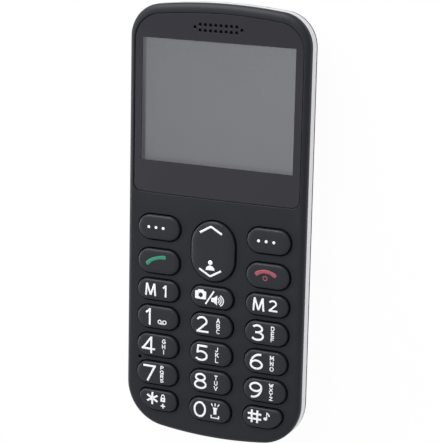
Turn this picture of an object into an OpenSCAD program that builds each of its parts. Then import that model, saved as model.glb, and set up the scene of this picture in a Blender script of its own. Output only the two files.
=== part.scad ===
// Bar feature phone with large separate keys, lying on its back.
// X runs across the phone, Y towards the earpiece and Z from the back towards the keys.
// The origin is under the middle of the phone, on the surface that it lies on.

/* [Body outline] */
// Length of the body
body_length = 131.5; // [120:0.5:150]
// Width of the body
body_width = 57.3; // [52:0.1:66]
// Radius of the top corners
top_corner_r = 10; // [7:0.5:13]
// Radius of the arched top edge
top_arch_r = 165; // [100:5:300]
// Radius of the bottom corners
bottom_corner_r = 13.4; // [11:0.1:14.5]
// Radius of the arched bottom edge
bottom_arch_r = 130; // [85:5:300]

/* [Side profile] */
// Depth of the black side wall, from the face to the trim band
front_wall_depth = 2.55; // [2:0.05:2.75]
// Depth of the silver trim band
band_depth = 2.85; // [2:0.05:3]
// Depth of the battery cover's side wall
cover_depth = 3.6; // [3.4:0.05:3.9]
// Depth of the straight edge of the back, below the trim band
back_lip = 0.4; // [0.2:0.05:0.6]
// Slope of the sides of the back, in degrees
back_draft = 23.5; // [20:0.5:25]
// Radius of the rounded edge round the back
back_edge_r = 4; // [3.6:0.1:4.4]
// Depth of the rounded rim round the face
rim_depth = 1.5; // [0.8:0.1:1.8]
// Width of the rounded rim along the sides
rim_side = 1.5; // [0.8:0.1:1.6]
// Width of the rounded rim along the top
rim_top = 2.2; // [1:0.1:2.4]
// Width of the rounded rim along the bottom
rim_bottom = 1.8; // [1:0.1:2.6]

/* [Walls] */
// Thickness of the face around the keys
face_wall = 1.5; // [1.2:0.1:1.8]
// Thickness of the front housing's side wall
side_wall = 1.5; // [1.2:0.1:1.6]
// Thickness of the trim band
band_wall = 1.3; // [1:0.1:1.5]
// Bevel along both edges of the trim band
band_bevel = 0.2; // [0.1:0.05:0.4]
// Thickness of the rear housing's side wall, under the board's edge
rear_wall = 2.9; // [2.6:0.1:3.2]
// Thickness of the rear housing's back plate
back_wall = 1.2; // [0.9:0.1:1.3]
// Thickness of the battery cover
cover_wall = 1.2; // [0.9:0.1:1.3]
// Wall round the battery bay
bay_wall = 1; // [0.8:0.1:1.3]
// Floor of the battery bay
bay_floor = 0.6; // [0.5:0.1:0.9]

/* [Clearances] */
// Gap round a piece that is glued or clamped in place
fit_gap = 0.15; // [0.1:0.05:0.25]
// Gap round a piece that slides
slide_gap = 0.2; // [0.15:0.05:0.3]
// Gap round a piece that is dropped in
loose_gap = 0.3; // [0.2:0.05:0.45]
// Gap between a key and its opening
key_gap = 0.5; // [0.3:0.05:0.6]

/* [Display] */
// Margin from the body's side to the window
window_side = 1.85; // [1.8:0.05:2.4]
// Margin from the body's top to the window
window_top = 2.85; // [2.6:0.05:3.2]
// Radius of the window's lower corners
window_corner_r = 2.4; // [1.5:0.1:4]
// Thickness of the window
window_t = 1.05; // [0.8:0.05:1.4]
// Step from the face down to the window
window_sunk = 0.05; // [0:0.05:0.2]
// Thickness of the window's adhesive frame
tape_t = 0.15; // [0.1:0.05:0.25]
// Thickness of the ledge that carries the window
ledge_t = 0.95; // [0.7:0.05:1.3]
// Distance from the body's side to the picture
picture_side = 4.17; // [4.1:0.01:5]
// Distance from the body's top to the picture
picture_top = 11.29; // [11:0.01:13]
// Height of the display's picture
picture_h = 36.72; // [33:0.02:40]
// Distance from the picture down to the lower edge of the window
window_chin = 9.5; // [7:0.1:12]
// Border of the display panel at its sides
panel_side = 1.5; // [1:0.1:1.6]
// Border of the display panel above the picture
panel_top = 1.4; // [1:0.1:1.6]
// Border of the display panel below the picture, over its driver
panel_bottom = 4.6; // [3:0.1:5]
// Thickness of the display panel with its backlight
panel_t = 2.1; // [1.8:0.1:2.6]
// Sheet thickness of the tray under the display panel
tray_t = 0.35; // [0.2:0.05:0.4]
// Step from the picture down to the tray's rim
tray_drop = 0.45; // [0.3:0.05:0.8]
// Thickness of the polariser on the picture
polariser_t = 0.15; // [0.1:0.05:0.25]
// Margin from the picture to the ledge
ledge_margin = 0.6; // [0.3:0.05:0.8]

/* [Earpiece] */
// Distance from the body's top to the middle of the earpiece holes
earpiece_from_top = 7.05; // [6.6:0.05:7.4]
// Diameter of an earpiece hole
earpiece_hole_d = 0.95; // [0.6:0.05:1.1]
// Distance between earpiece holes along a row
earpiece_pitch = 1.66; // [1.4:0.01:1.7]
// Distance between the two rows of earpiece holes
earpiece_row_gap = 1.7; // [1.3:0.1:1.8]
// Number of earpiece holes in a row
earpiece_holes = 8; // [4:2:8]
// Length of the receiver
receiver_l = 12; // [10:0.5:15]
// Width of the receiver
receiver_w = 5.4; // [4:0.1:5.6]
// Height of the receiver
receiver_h = 2.2; // [1.6:0.1:2.3]
// Thickness of the earpiece mesh
mesh_t = 0.25; // [0.15:0.05:0.4]
// Lap of the earpiece mesh on the ledge
mesh_lap = 0.4; // [0.3:0.05:0.6]
// Corner radius of the receiver and the loudspeaker
capsule_r = 1.5; // [0.5:0.1:2]

/* [Keypad] */
// Distance from the window to the openings of the soft keys
window_to_keys = 6.3; // [5.6:0.1:8]
// Distance from the body's bottom to the openings of the last row
keys_to_bottom = 5.4; // [5:0.1:6]
// Distance from the body's side to the openings of the outer keys
key_side = 3.6; // [3.3:0.05:4]
// Gap between the openings of two columns of keys
column_gap = 3.45; // [2.8:0.05:4.5]
// Gap between the openings of two rows of keys
row_gap = 1.25; // [1.1:0.05:2]
// Gap between the openings of the soft keys and the call keys
soft_gap = 2.35; // [1.4:0.05:3]
// Rise of the corner keys' lower edges above the rest of their row, where the body's end arches up
corner_rise = 0.7; // [0:0.1:1]
// Length by which a corner key's opening falls short of the openings above it
corner_short = 1.05; // [0.6:0.05:2]
// Radius of the corner keys' outer lower edges, which bend round with the body's corners
corner_low_r = 6; // [4.5:0.1:8]
// Radius of the corner keys' outer upper edges
corner_tip_r = 2.4; // [1:0.1:2.6]
// Height by which a soft key or call key opening exceeds a digit key's
soft_extra = 0.5; // [0:0.1:1]
// Height by which a memory key opening falls short of a digit key's
memory_less = 0.5; // [0:0.1:1]
// Gap between the openings of the rocker and the keys beside it
rocker_side_gap = 3.2; // [2.8:0.05:4.2]
// Reach of the rocker opening above the soft keys and below the call keys
rocker_over = 0.2; // [0:0.05:0.5]
// Height of a key's crown above the face
key_proud = 1.1; // [0.3:0.05:1.4]
// Depth below the face at which a key's edge starts to round over
key_shoulder = 0.2; // [0.1:0.05:0.6]
// Power of a key's crown: 2 rounds it like an ellipse, more makes it flatter with a tighter edge
crown_power = 5; // [2:0.5:8]
// Travel of a key
key_travel = 0.4; // [0.2:0.05:0.5]
// Free play of a key under the face
key_play = 0.05; // [0.02:0.01:0.1]
// Reach of a key's retaining ear beyond its opening
key_ear = 0.8; // [0.5:0.1:1]
// Thickness of a key's retaining ear
ear_t = 0.6; // [0.4:0.1:0.7]
// Length of the rocker's retaining ear
rocker_ear_l = 6; // [4:0.5:8]
// Free play of the rocker under the face
rocker_play = 0.15; // [0.12:0.01:0.25]
// Distance from the ends of the rocker opening to the points pressed under it
rocker_end = 4; // [3.6:0.1:4.5]
// Thickness of the keypad membrane
membrane_t = 0.4; // [0.3:0.05:0.6]
// Diameter of a membrane post
post_d = 3; // [2:0.1:4]
// Diameter of a metal dome
dome_d = 5; // [4:0.1:5.6]
// Height of a metal dome
dome_h = 0.35; // [0.25:0.05:0.45]
// Thickness of the film round the domes
film_t = 0.2; // [0.1:0.05:0.25]

/* [Board and battery] */
// Thickness of the main board
board_t = 1; // [0.8:0.1:1.2]
// Length of the battery
battery_l = 53; // [48:0.5:54]
// Distance from the body's side to the battery
battery_side = 11.65; // [11.2:0.05:13]
// Thickness of the battery
battery_t = 4.4; // [4.2:0.1:5.6]
// Corner radius of the battery
battery_corner_r = 2; // [1:0.1:4]
// Depth of the battery connector
connector_l = 3; // [2:0.1:3.2]
// Width of the battery connector
connector_w = 10; // [8:0.5:14]
// Distance between the battery contacts
contact_pitch = 2.5; // [2:0.1:3]
// Width of a battery contact
contact_w = 1; // [0.6:0.1:1.4]
// Length of the SIM holder
sim_l = 16.5; // [15.5:0.1:17]
// Width of the SIM holder
sim_w = 27; // [26:0.5:29]
// Height of the SIM holder and the card socket
holder_h = 1.3; // [1.1:0.05:1.6]
// Length of the memory card socket
card_l = 15; // [14:0.1:16]
// Width of the memory card socket
card_w = 14.5; // [12:0.1:16]
// Sheet thickness of the holders and the shield can
sheet_t = 0.2; // [0.15:0.05:0.25]
// Distance from the ends of the battery bay to the card holders
holder_inset = 5; // [4:0.5:6]

/* [Back] */
// Distance from the body's top to the top of the battery cover
cover_from_top = 32; // [31:0.5:34]
// Travel of the battery cover before it lifts off
cover_travel = 10; // [6:0.5:12]
// Length of one of the battery cover's rail lips
lip_l = 7; // [4:0.5:8]
// Reach of a rail lip into its groove
lip_reach = 0.6; // [0.4:0.05:0.8]
// Height of a rail lip
lip_h = 0.6; // [0.4:0.05:0.8]
// Distance from the top of the battery cover to its first rail lip
lip_from_split = 10; // [8:0.5:14]
// Distance between the two rail lips of a side
lip_spacing = 40; // [30:1:46]
// Number of thumb grooves on the battery cover
grip_count = 5; // [3:1:7]
// Distance from the top of the battery cover to the first thumb groove
grip_from_split = 6; // [4:0.5:12]
// Length of the thumb grooves
grip_l = 18; // [12:1:24]
// Distance between thumb grooves
grip_pitch = 2; // [1.5:0.1:2.5]
// Width of a thumb groove
grip_w = 0.9; // [0.5:0.1:1.2]
// Depth of a thumb groove
grip_depth = 0.3; // [0.2:0.05:0.5]
// Distance from the body's top to the camera and the loudspeaker
optics_from_top = 14.5; // [13.5:0.5:15.5]
// Distance of the camera to the left of the middle
camera_x = 8; // [6.5:0.5:9]
// Diameter of the camera window
camera_window_d = 8; // [7:0.1:9]
// Thickness of the camera window
camera_window_t = 0.5; // [0.4:0.05:0.6]
// Step from the back down to the camera window
camera_sunk = 0.2; // [0.1:0.05:0.25]
// Width of the camera module
camera_w = 8; // [7:0.1:8.5]
// Height of the camera module's base
camera_base_h = 2.2; // [1.5:0.1:3]
// Diameter of the camera's barrel
camera_barrel_d = 6; // [5:0.1:6.5]
// Diameter of the opening in front of the camera
camera_view_d = 5.4; // [4:0.1:6]
// Distance from the body's left side to the middle of the torch
torch_side = 10.65; // [10:0.05:12]
// Diameter of the torch's light pipe
torch_d = 4; // [3:0.1:5]
// Reach of the light pipe's flange
pipe_flange = 0.6; // [0.4:0.1:1]
// Thickness of the light pipe's flange
pipe_flange_t = 0.3; // [0.2:0.05:0.5]
// Width of the torch lamp
torch_lamp_w = 3; // [2:0.1:3.5]
// Height of the torch lamp
torch_lamp_h = 1.6; // [1:0.1:2]
// Distance from the body's right side to the middle of the loudspeaker
speaker_side = 17.15; // [16.6:0.05:18]
// Length of the loudspeaker
speaker_l = 20; // [16:0.5:20]
// Width of the loudspeaker
speaker_w = 12; // [10:0.5:12]
// Height of the loudspeaker
speaker_h = 3.6; // [2.6:0.1:4]
// Number of sound slots in the back
slot_count = 5; // [3:1:6]
// Length of a sound slot
slot_l = 9; // [6:0.5:9.5]
// Width of a sound slot
slot_w = 1; // [0.7:0.1:1.2]
// Distance between sound slots
slot_pitch = 2.4; // [2:0.1:2.6]

/* [Board pieces] */
// Diameter of the microphone hole in the face
mic_hole_d = 1.1; // [0.8:0.1:1.3]
// Distance from the body's left side to the middle of the microphone
mic_side = 4.6; // [4.5:0.05:5]
// Diameter of the microphone
mic_d = 3.8; // [3:0.1:4]
// Height of the microphone
mic_h = 1.2; // [0.9:0.1:1.4]
// Rubber round the microphone and its sound tube
boot_wall = 0.4; // [0.3:0.05:0.45]
// Width of the charging socket
usb_w = 7.5; // [7:0.1:8]
// Height of the charging socket
usb_h = 2.5; // [2.4:0.1:2.6]
// Length of the charging socket
usb_l = 5; // [4.5:0.1:6]
// Thickness of the charging socket's shell
usb_shell = 0.3; // [0.2:0.05:0.35]
// Step from the body's bottom to the mouth of the charging socket
usb_sunk = 2.2; // [2:0.1:2.6]
// Space between the charging socket and the board
usb_drop = 0.4; // [0.3:0.05:0.5]
// Height of the charging socket's tongue
usb_tongue_h = 0.5; // [0.4:0.05:0.6]
// Width of the charging socket's tongue
usb_tongue_w = 3.7; // [3:0.1:4.2]
// Diameter of the charging socket's legs
usb_leg_d = 0.8; // [0.5:0.1:1]
// Distance between the charging socket's legs along its length
usb_leg_pitch = 1.6; // [1.2:0.1:2]
// Diameter of the vibration motor
motor_d = 8; // [6:0.5:9]
// Height of the vibration motor
motor_h = 2.7; // [2:0.1:3.4]
// Gap that the shield can keeps to the battery bay and the vibration motor
shield_gap = 0.65; // [0.4:0.05:2]
// Width of the shield can
shield_w = 30; // [20:1:36]
// Height of the shield can
shield_h = 1.8; // [1.2:0.1:2.6]
// Distance from the flat of the back's lower end to the antenna
antenna_end_gap = 1.5; // [1.2:0.1:2]
// Distance from the body's side to the antenna
antenna_side = 12.65; // [12.2:0.05:15]
// Width of the antenna's strip
antenna_strip = 1; // [0.8:0.1:1.2]
// Length of the antenna's folded end
antenna_tail = 20; // [12:1:22]
// Diameter of a housing screw
screw_d = 1.6; // [1.4:0.1:1.8]
// Length of a housing screw below its head
screw_l = 7.4; // [6.6:0.1:8]
// Diameter of a screw head
screw_head_d = 3; // [2.6:0.1:3.2]
// Height of a screw head
screw_head_h = 0.9; // [0.7:0.1:1.1]
// Width of the slot in a screw head
driver_slot_w = 0.4; // [0.3:0.05:0.6]
// Depth of the slot in a screw head
driver_slot_depth = 0.45; // [0.3:0.05:0.6]
// Diameter of a screw boss on the front housing
boss_d = 3.6; // [3:0.1:3.8]
// Wall round a screw head in the rear housing
head_wall = 0.9; // [0.7:0.1:1.1]
// Distance from the battery bay to the middle of the upper screws
upper_screw_gap = 2.7; // [2.6:0.05:2.9]
// Distance from the window down to the upper screws
upper_screw_drop = 2.8; // [2.5:0.1:3.2]

/* [Hidden] */
$fn = 48;
// Segments along a corner and along an arched end of the outline
corner_steps = 12;
arch_steps = 6;
// Steps round a rounded edge
edge_steps = 6;
// Steps round a key's edge and up to its crown, and round a metal dome
crown_steps = 6;
dome_steps = 4;
// Share of a corner key's outline that is left at its crest
crest_share = 0.1;
// Radius of an end that is as good as straight
straight_end_r = 1500;
// Overrun of a cut past the face that it opens
over = 1;

// Heights, from the back upwards
back_z = cover_wall + slide_gap;
battery_z = back_z;
bay_z = battery_z + battery_t + fit_gap;
board_z = bay_z + holder_h;
board_top = board_z + board_t;
tray_top = board_top + tray_t;
panel_z = tray_top + panel_t;
ledge_z = panel_z + fit_gap;
recess_z = ledge_z + ledge_t;
window_z = recess_z + tape_t;
face_z = window_z + window_t + window_sunk;
wall_z = face_z - front_wall_depth;
band_z = wall_z - band_depth;
lip_edge_z = band_z - back_lip;
plate_z = back_z + back_wall;
under_face = face_z - face_wall;
ear_top = under_face - key_play;
ear_z = ear_top - ear_t;
membrane_top = ear_z - key_travel - key_play;
membrane_z = membrane_top - membrane_t;
post_z = board_top + dome_h + key_play;

// Inset of the middle of the arc that rounds the back's edge
back_arc_inset = back_edge_r / cos(back_draft) + (lip_edge_z - back_edge_r) * tan(back_draft);

// Places along the body
top_y = body_length / 2;
bottom_y = -body_length / 2;
window_top_y = top_y - window_top;
picture_w = body_width - 2 * picture_side;
glass_margin = ledge_margin - loose_gap;
display_y = top_y - picture_top - picture_h / 2;
window_bottom_y = display_y - picture_h / 2 - window_chin;
ledge_end_y = window_bottom_y - fit_gap - side_wall;
earpiece_y = top_y - earpiece_from_top;
split_y = top_y - cover_from_top;
optics_y = top_y - optics_from_top;
torch_x = torch_side - body_width / 2;
speaker_x = body_width / 2 - speaker_side;

// Columns of keys: three openings and two gaps fill the width between the side margins
key_w = (body_width - 2 * key_side - 2 * column_gap) / 3;
column_pitch = key_w + column_gap;
rocker_w = 2 * column_pitch - key_w - 2 * rocker_side_gap;

// Rows of keys, from the soft keys down: seven openings and their gaps fill the length below the window
keypad_l = window_bottom_y - window_to_keys - bottom_y - keys_to_bottom;
digit_h = (keypad_l - soft_gap - 5 * row_gap - 2 * soft_extra + memory_less) / 7;
soft_h = digit_h + soft_extra;
memory_h = digit_h - memory_less;
digit_pitch = digit_h + row_gap;
soft_pitch = soft_h + soft_gap;
last_row_y = bottom_y + keys_to_bottom + digit_h / 2;
first_digit_y = last_row_y + 3 * digit_pitch;
memory_y = first_digit_y + (digit_h + memory_h) / 2 + row_gap;
call_y = memory_y + (memory_h + soft_h) / 2 + row_gap;
soft_y = call_y + soft_pitch;
rocker_h = soft_pitch + soft_h + 2 * rocker_over;
rocker_press = rocker_h / 2 - rocker_end;
row_y = concat([soft_y, call_y, memory_y], [for (i = [0 : 3]) first_digit_y - i * digit_pitch]);
row_h = concat([soft_h, soft_h, memory_h], [for (i = [0 : 3]) digit_h]);
last_row = len(row_y) - 1;
rocker_y = (soft_y + call_y) / 2;

// Keys other than the rocker: name, column from the middle, row
KEYS = [
    ["key_soft_left", -1, 0],
    ["key_soft_right", 1, 0],
    ["key_call", -1, 1],
    ["key_end", 1, 1],
    ["key_m1", -1, 2],
    ["key_camera", 0, 2],
    ["key_m2", 1, 2],
    ["key_1", -1, 3],
    ["key_2", 0, 3],
    ["key_3", 1, 3],
    ["key_4", -1, 4],
    ["key_5", 0, 4],
    ["key_6", 1, 4],
    ["key_7", -1, 5],
    ["key_8", 0, 5],
    ["key_9", 1, 5],
    ["key_star", -1, last_row],
    ["key_0", 0, last_row],
    ["key_hash", 1, last_row]
];

function key_x(k) = k[1] * column_pitch;
function key_y(k) = row_y[k[2]];
function is_corner_key(k) = k[2] == last_row && k[1] != 0;

// Points that are pressed: under each key, and under both ends of the rocker
press_points = concat(
    [for (k = KEYS) [key_x(k), key_y(k)]],
    [for (end = [-1, 1]) [0, rocker_y + end * rocker_press]]
);

// Battery bay
battery_w = body_width - 2 * battery_side;
battery_top_y = split_y - connector_l - bay_wall;
battery_y = battery_top_y - battery_l / 2;
bay_w = battery_w + 2 * loose_gap;
bay_l = battery_l + 2 * loose_gap;
bay_top_y = battery_y + bay_l / 2;
bay_bottom_y = battery_y - bay_l / 2;
sim_y = bay_top_y - holder_inset - sim_l / 2;
card_y = bay_bottom_y + holder_inset + card_l / 2;
sim_top_y = sim_y + sim_l / 2 + loose_gap;
card_bottom_y = card_y - card_l / 2 - loose_gap;

// Screws: two beside the battery below the window, two between the last rows of keys
lower_screw_y = last_row_y + digit_pitch / 2;
screw_points = [
    for (side = [-1, 1], place = [[bay_w / 2 + upper_screw_gap, window_bottom_y - upper_screw_drop],
                                  [column_pitch / 2, lower_screw_y]])
        [side * place.x, place.y]
];
screw_hole_d = screw_d + fit_gap;
head_hole_d = screw_head_d + 2 * loose_gap;
head_seat_z = plate_z + head_wall;

// Pieces inside the lower end
mic_x = mic_side - body_width / 2;
mic_y = (row_y[4] + row_y[5]) / 2;
boot_r = mic_d / 2 + boot_wall;
tube_r = mic_hole_d / 2 + boot_wall;
usb_top = board_z - usb_drop;
usb_z = usb_top - usb_h;
usb_y = bottom_y + usb_sunk;
usb_end_y = usb_y + usb_l + loose_gap;
antenna_w = body_width - 2 * antenna_side;
antenna_top_y = lower_screw_y - head_hole_d / 2 - head_wall - loose_gap;
antenna_l = antenna_top_y - bottom_y - back_arc_inset - antenna_end_gap;
motor_x = column_pitch / 2 + head_hole_d / 2 + head_wall + loose_gap + motor_d / 2;
motor_y = lower_screw_y + motor_d / 2;
shield_top_y = bay_bottom_y - bay_wall - shield_gap;
shield_l = shield_top_y - motor_y - motor_d / 2 - shield_gap;
shield_y = shield_top_y - shield_l / 2;

// Rails of the battery cover: the middle of each lip along the side, and its height
lip_y = [split_y - lip_from_split, split_y - lip_from_split - lip_spacing];
lip_top = cover_depth - slide_gap;
lip_z = lip_top - lip_h;
rail_x = body_width / 2 - slope_inset(cover_wall, lip_z + lip_h / 2);

// Points along an arc about a centre, from one angle to another
function arc(centre, r, from, to, steps) =
    [for (i = [0 : steps]) let (a = from + (to - from) * i / steps) centre + r * [cos(a), sin(a)]];

// An arc without its two end points
function inner_arc(centre, r, from, to, steps) =
    [for (i = [1 : steps - 1]) arc(centre, r, from, to, steps)[i]];

// Centre of the round corner between a straight side and an arched end: its X and its depth from the end
function corner_centre(half, r, arch) =
    [half - r, arch - sqrt(pow(arch - r, 2) - pow(half - r, 2))];

// Outline with straight sides, arched ends and round corners that meet them smoothly.
// half is half the width, and each end has its Y, its corner radius and its arch radius.
function plan(half, top, top_r, top_arch, bottom, bottom_r, bottom_arch) =
    let (
        top_turn = asin((half - top_r) / (top_arch - top_r)),
        bottom_turn = asin((half - bottom_r) / (bottom_arch - bottom_r)),
        top_arch_c = [0, top - top_arch],
        bottom_arch_c = [0, bottom + bottom_arch],
        top_in = corner_centre(half, top_r, top_arch),
        top_c = [top_in.x, top - top_in.y],
        bottom_c = [0, bottom] + corner_centre(half, bottom_r, bottom_arch)
    )
    concat(
        arc(bottom_c, bottom_r, bottom_turn - 90, 0, corner_steps),
        arc(top_c, top_r, 0, 90 - top_turn, corner_steps),
        inner_arc(top_arch_c, top_arch, 90 - top_turn, 90 + top_turn, arch_steps),
        arc([-top_c.x, top_c.y], top_r, 90 + top_turn, 180, corner_steps),
        arc([-bottom_c.x, bottom_c.y], bottom_r, 180, 270 - bottom_turn, corner_steps),
        inner_arc(bottom_arch_c, bottom_arch, 270 - bottom_turn, 270 + bottom_turn, arch_steps)
    );

// The body's outline, drawn in by a margin at the sides, the top and the bottom
function body_plan(side, top, bottom) =
    plan(
        body_width / 2 - side,
        top_y - top, top_corner_r - side, top_arch_r - top,
        bottom_y + bottom, bottom_corner_r - side, bottom_arch_r - bottom
    );

function outline(inset) = body_plan(inset, inset, inset);

// The window's outline, let out all round by a gap
function window_plan(gap) =
    plan(
        body_width / 2 - window_side + gap,
        window_top_y + gap, top_corner_r - window_side + gap, top_arch_r - window_top + gap,
        window_bottom_y - gap, window_corner_r + gap, straight_end_r
    );

// Inset of the back's sloping side at a height, drawn in by a thickness
function slope_inset(t, z) =
    back_arc_inset - (back_edge_r - t) / cos(back_draft) - (z - back_edge_r) * tan(back_draft);

// Sections of the back, drawn in by a thickness: flat, rounded edge and sloping side up to a height
function back_sections(t, top) =
    let (r = back_edge_r - t)
    concat(
        [for (i = [0 : edge_steps]) let (a = (90 - back_draft) * i / edge_steps)
            [outline(back_arc_inset - r * sin(a)), back_edge_r - r * cos(a)]],
        [[outline(slope_inset(t, top)), top]]
    );

// Sections of the front housing: a straight wall and a rim that rounds over to the face
front_sections = concat(
    [[outline(0), wall_z]],
    [for (i = [0 : edge_steps]) let (a = 90 * i / edge_steps, in = 1 - cos(a))
        [body_plan(rim_side * in, rim_top * in, rim_bottom * in), face_z - rim_depth * (1 - sin(a))]]
);

band_sections = [
    [outline(band_bevel), band_z],
    [outline(0), band_z + band_bevel],
    [outline(0), wall_z - band_bevel],
    [outline(band_bevel), wall_z]
];

// Solid skinned through outlines with equally many points, each given with its height
module loft(sections) {
    count = len(sections[0][0]);
    last = len(sections) - 1;
    points = [for (s = sections) for (p = s[0]) [p.x, p.y, s[1]]];
    sides = [
        for (k = [0 : last - 1], i = [0 : count - 1])
            let (a = k * count, b = a + count, j = (i + 1) % count)
                each [[a + i, b + i, b + j], [a + i, b + j, a + j]]
    ];
    lower = [for (i = [0 : count - 1]) i];
    upper = [for (i = [count - 1 : -1 : 0]) last * count + i];
    polyhedron(points, concat([lower, upper], sides));
}

// Prism on an outline, between two heights
module prism(points, from, to) {
    translate([0, 0, from])
        linear_extrude(to - from)
            polygon(points);
}

// Flat shape with straight sides and half round ends
module stadium(length, width) {
    square([length - width, width], center = true);
    for (side = [-1, 1])
        translate([side * (length - width) / 2, 0])
            circle(d = width);
}

module rounded_rect(width, length, r) {
    square([width - 2 * r, length], center = true);
    square([width, length - 2 * r], center = true);
    for (x = [-1, 1], y = [-1, 1])
        translate([x * (width / 2 - r), y * (length / 2 - r)])
            circle(r);
}

// Box between two heights, centred on a point
module block(x, y, width, length, from, to) {
    translate([x - width / 2, y - length / 2, from])
        cube([width, length, to - from]);
}

// Right corner key's opening: its height and middle, and the centres of its inner end, of its outer
// upper edge and of its outer lower edge, which touch each other
corner_h = digit_h - corner_rise;
corner_y = last_row_y + corner_rise / 2;
corner_inner_c = [column_pitch - key_w / 2 + corner_h / 2, corner_y];
corner_tip_c = [
    column_pitch + key_w / 2 - corner_short - corner_tip_r,
    corner_y + corner_h / 2 - corner_tip_r
];
corner_low_y = corner_y - corner_h / 2 + corner_low_r;
corner_low_c = [
    corner_tip_c.x - sqrt(pow(corner_low_r - corner_tip_r, 2) - pow(corner_tip_c.y - corner_low_y, 2)),
    corner_low_y
];

// Outline of the right corner key's opening, drawn in by a gap: a half round inner end, straight
// edges, and an outer end that bends round with the body's corner up to the round tip
function corner_plan(gap) =
    let (
        tip_turn = atan2(corner_tip_c.y - corner_low_c.y, corner_tip_c.x - corner_low_c.x),
        tip_step = (90 - tip_turn) / corner_steps
    )
    concat(
        arc(corner_inner_c, corner_h / 2 - gap, 90, 270, 2 * corner_steps),
        arc(corner_low_c, corner_low_r - gap, -90, tip_turn, corner_steps),
        arc(corner_tip_c, corner_tip_r - gap, tip_turn + tip_step, 90, corner_steps - 1)
    );

// The corner key's outline drawn together about the line along its middle
function corner_slice(points, share) =
    [for (p = points)
        let (middle = [min(max(p.x, corner_inner_c.x), corner_tip_c.x), corner_y])
            middle + share * (p - middle)];

// Mirrors what is drawn for the right column when the key is in the left one
module on_side(k) {
    mirror([k[1] < 0 ? 1 : 0, 0, 0])
        children();
}

// Opening of a key in the face
module key_opening(k) {
    if (is_corner_key(k))
        on_side(k)
            polygon(corner_plan(0));
    else
        translate([key_x(k), key_y(k)])
            stadium(key_w, row_h[k[2]]);
}

module rocker_opening() {
    translate([0, rocker_y])
        rotate(90)
            stadium(rocker_h, rocker_w);
}

module earpiece_hole_places() {
    for (i = [0 : earpiece_holes - 1], row = [-1, 1])
        translate([(i - (earpiece_holes - 1) / 2) * earpiece_pitch,
                   earpiece_y + row * earpiece_row_gap / 2])
            children();
    for (side = [-1, 1])
        translate([side * earpiece_holes / 2 * earpiece_pitch + side * earpiece_pitch / 2, earpiece_y])
            children();
}

port_l = (earpiece_holes + 1) * earpiece_pitch + 2 * earpiece_hole_d;
port_w = earpiece_row_gap + 2 * earpiece_hole_d;

module earpiece_port(gap) {
    translate([0, earpiece_y])
        stadium(port_l + 2 * gap, port_w + 2 * gap);
}

module display_opening(gap) {
    translate([0, display_y])
        square([picture_w + 2 * gap, picture_h + 2 * gap], center = true);
}

module front_housing() {
    color("#2c2d30")
        difference() {
            union() {
                difference() {
                    loft(front_sections);
                    prism(outline(side_wall), wall_z - over, ledge_z);
                    translate([0, 0, ledge_z - over])
                        linear_extrude(under_face - ledge_z + over)
                            intersection() {
                                polygon(outline(side_wall));
                                translate([-body_width, bottom_y - over])
                                    square([2 * body_width, ledge_end_y - bottom_y + over]);
                            }
                }
                for (p = screw_points)
                    translate([p.x, p.y, board_top])
                        cylinder(d = boss_d, h = under_face + face_wall / 2 - board_top);
            }
            prism(window_plan(fit_gap), recess_z, face_z + over);
            translate([0, 0, ledge_z - over])
                linear_extrude(recess_z - ledge_z + 2 * over) {
                    display_opening(ledge_margin);
                    earpiece_port(0);
                }
            translate([0, 0, recess_z - mesh_t])
                linear_extrude(mesh_t + over)
                    earpiece_port(mesh_lap + fit_gap);
            translate([0, 0, under_face - over])
                linear_extrude(face_wall + 2 * over) {
                    for (k = KEYS)
                        key_opening(k);
                    rocker_opening();
                    translate([mic_x, mic_y])
                        circle(d = mic_hole_d);
                }
            for (p = screw_points)
                translate([p.x, p.y, board_top - over])
                    cylinder(d = screw_hole_d, h = head_seat_z + screw_l + fit_gap - board_top + over);
        }
}

module display_window() {
    color("#3a3a3e")
        translate([0, 0, window_z])
            linear_extrude(window_t)
                difference() {
                    polygon(window_plan(0));
                    earpiece_hole_places()
                        circle(d = earpiece_hole_d);
                }
}

module window_adhesive() {
    color("#151517")
        translate([0, 0, recess_z])
            linear_extrude(tape_t)
                difference() {
                    polygon(window_plan(-fit_gap));
                    display_opening(ledge_margin + fit_gap);
                    earpiece_port(mesh_lap + 2 * fit_gap);
                }
}

module earpiece_mesh() {
    color("#0c0c0e")
        translate([0, 0, recess_z - mesh_t])
            linear_extrude(mesh_t)
                earpiece_port(mesh_lap);
}

panel_l = picture_h + panel_top + panel_bottom;
panel_w = picture_w + 2 * panel_side;
panel_y = display_y + (panel_top - panel_bottom) / 2;
tray_l = panel_l + 2 * tray_t + 2 * fit_gap;
tray_w = panel_w + 2 * tray_t + 2 * fit_gap;
receiver_y = panel_y + tray_l / 2 + loose_gap + receiver_w / 2;

module receiver() {
    color("#8d8f92")
        translate([0, receiver_y, ledge_z - receiver_h])
            linear_extrude(receiver_h)
                rounded_rect(receiver_l, receiver_w, capsule_r);
}

// Glass over its backlight, with the polariser on it and the picture's own glass up in the opening
module display_panel() {
    color("#7b7b80") {
        block(0, panel_y, panel_w, panel_l, tray_top, panel_z - polariser_t);
        block(0, display_y, picture_w + panel_side, picture_h + panel_top,
              panel_z - 2 * polariser_t, panel_z);
        block(0, display_y, picture_w + 2 * glass_margin, picture_h + 2 * glass_margin,
              panel_z - polariser_t, window_z - loose_gap);
    }
}

// Folded steel tray, open towards the glass
module display_tray() {
    color("#b9bbbf")
        difference() {
            block(0, panel_y, tray_w, tray_l, board_top, panel_z - tray_drop);
            block(0, panel_y, tray_w - 2 * tray_t, tray_l - 2 * tray_t, tray_top, panel_z);
        }
}

module trim_band() {
    color("#cfd0d3")
        difference() {
            loft(band_sections);
            prism(outline(band_wall), band_z - over, wall_z + over);
        }
}

// The part of the body that the battery cover takes up, without the gap to the rear housing
module cover_region(gap) {
    translate([-body_width, bottom_y - over, -over])
        cube([2 * body_width, split_y - gap - bottom_y + over, cover_depth - gap + over]);
}

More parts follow.
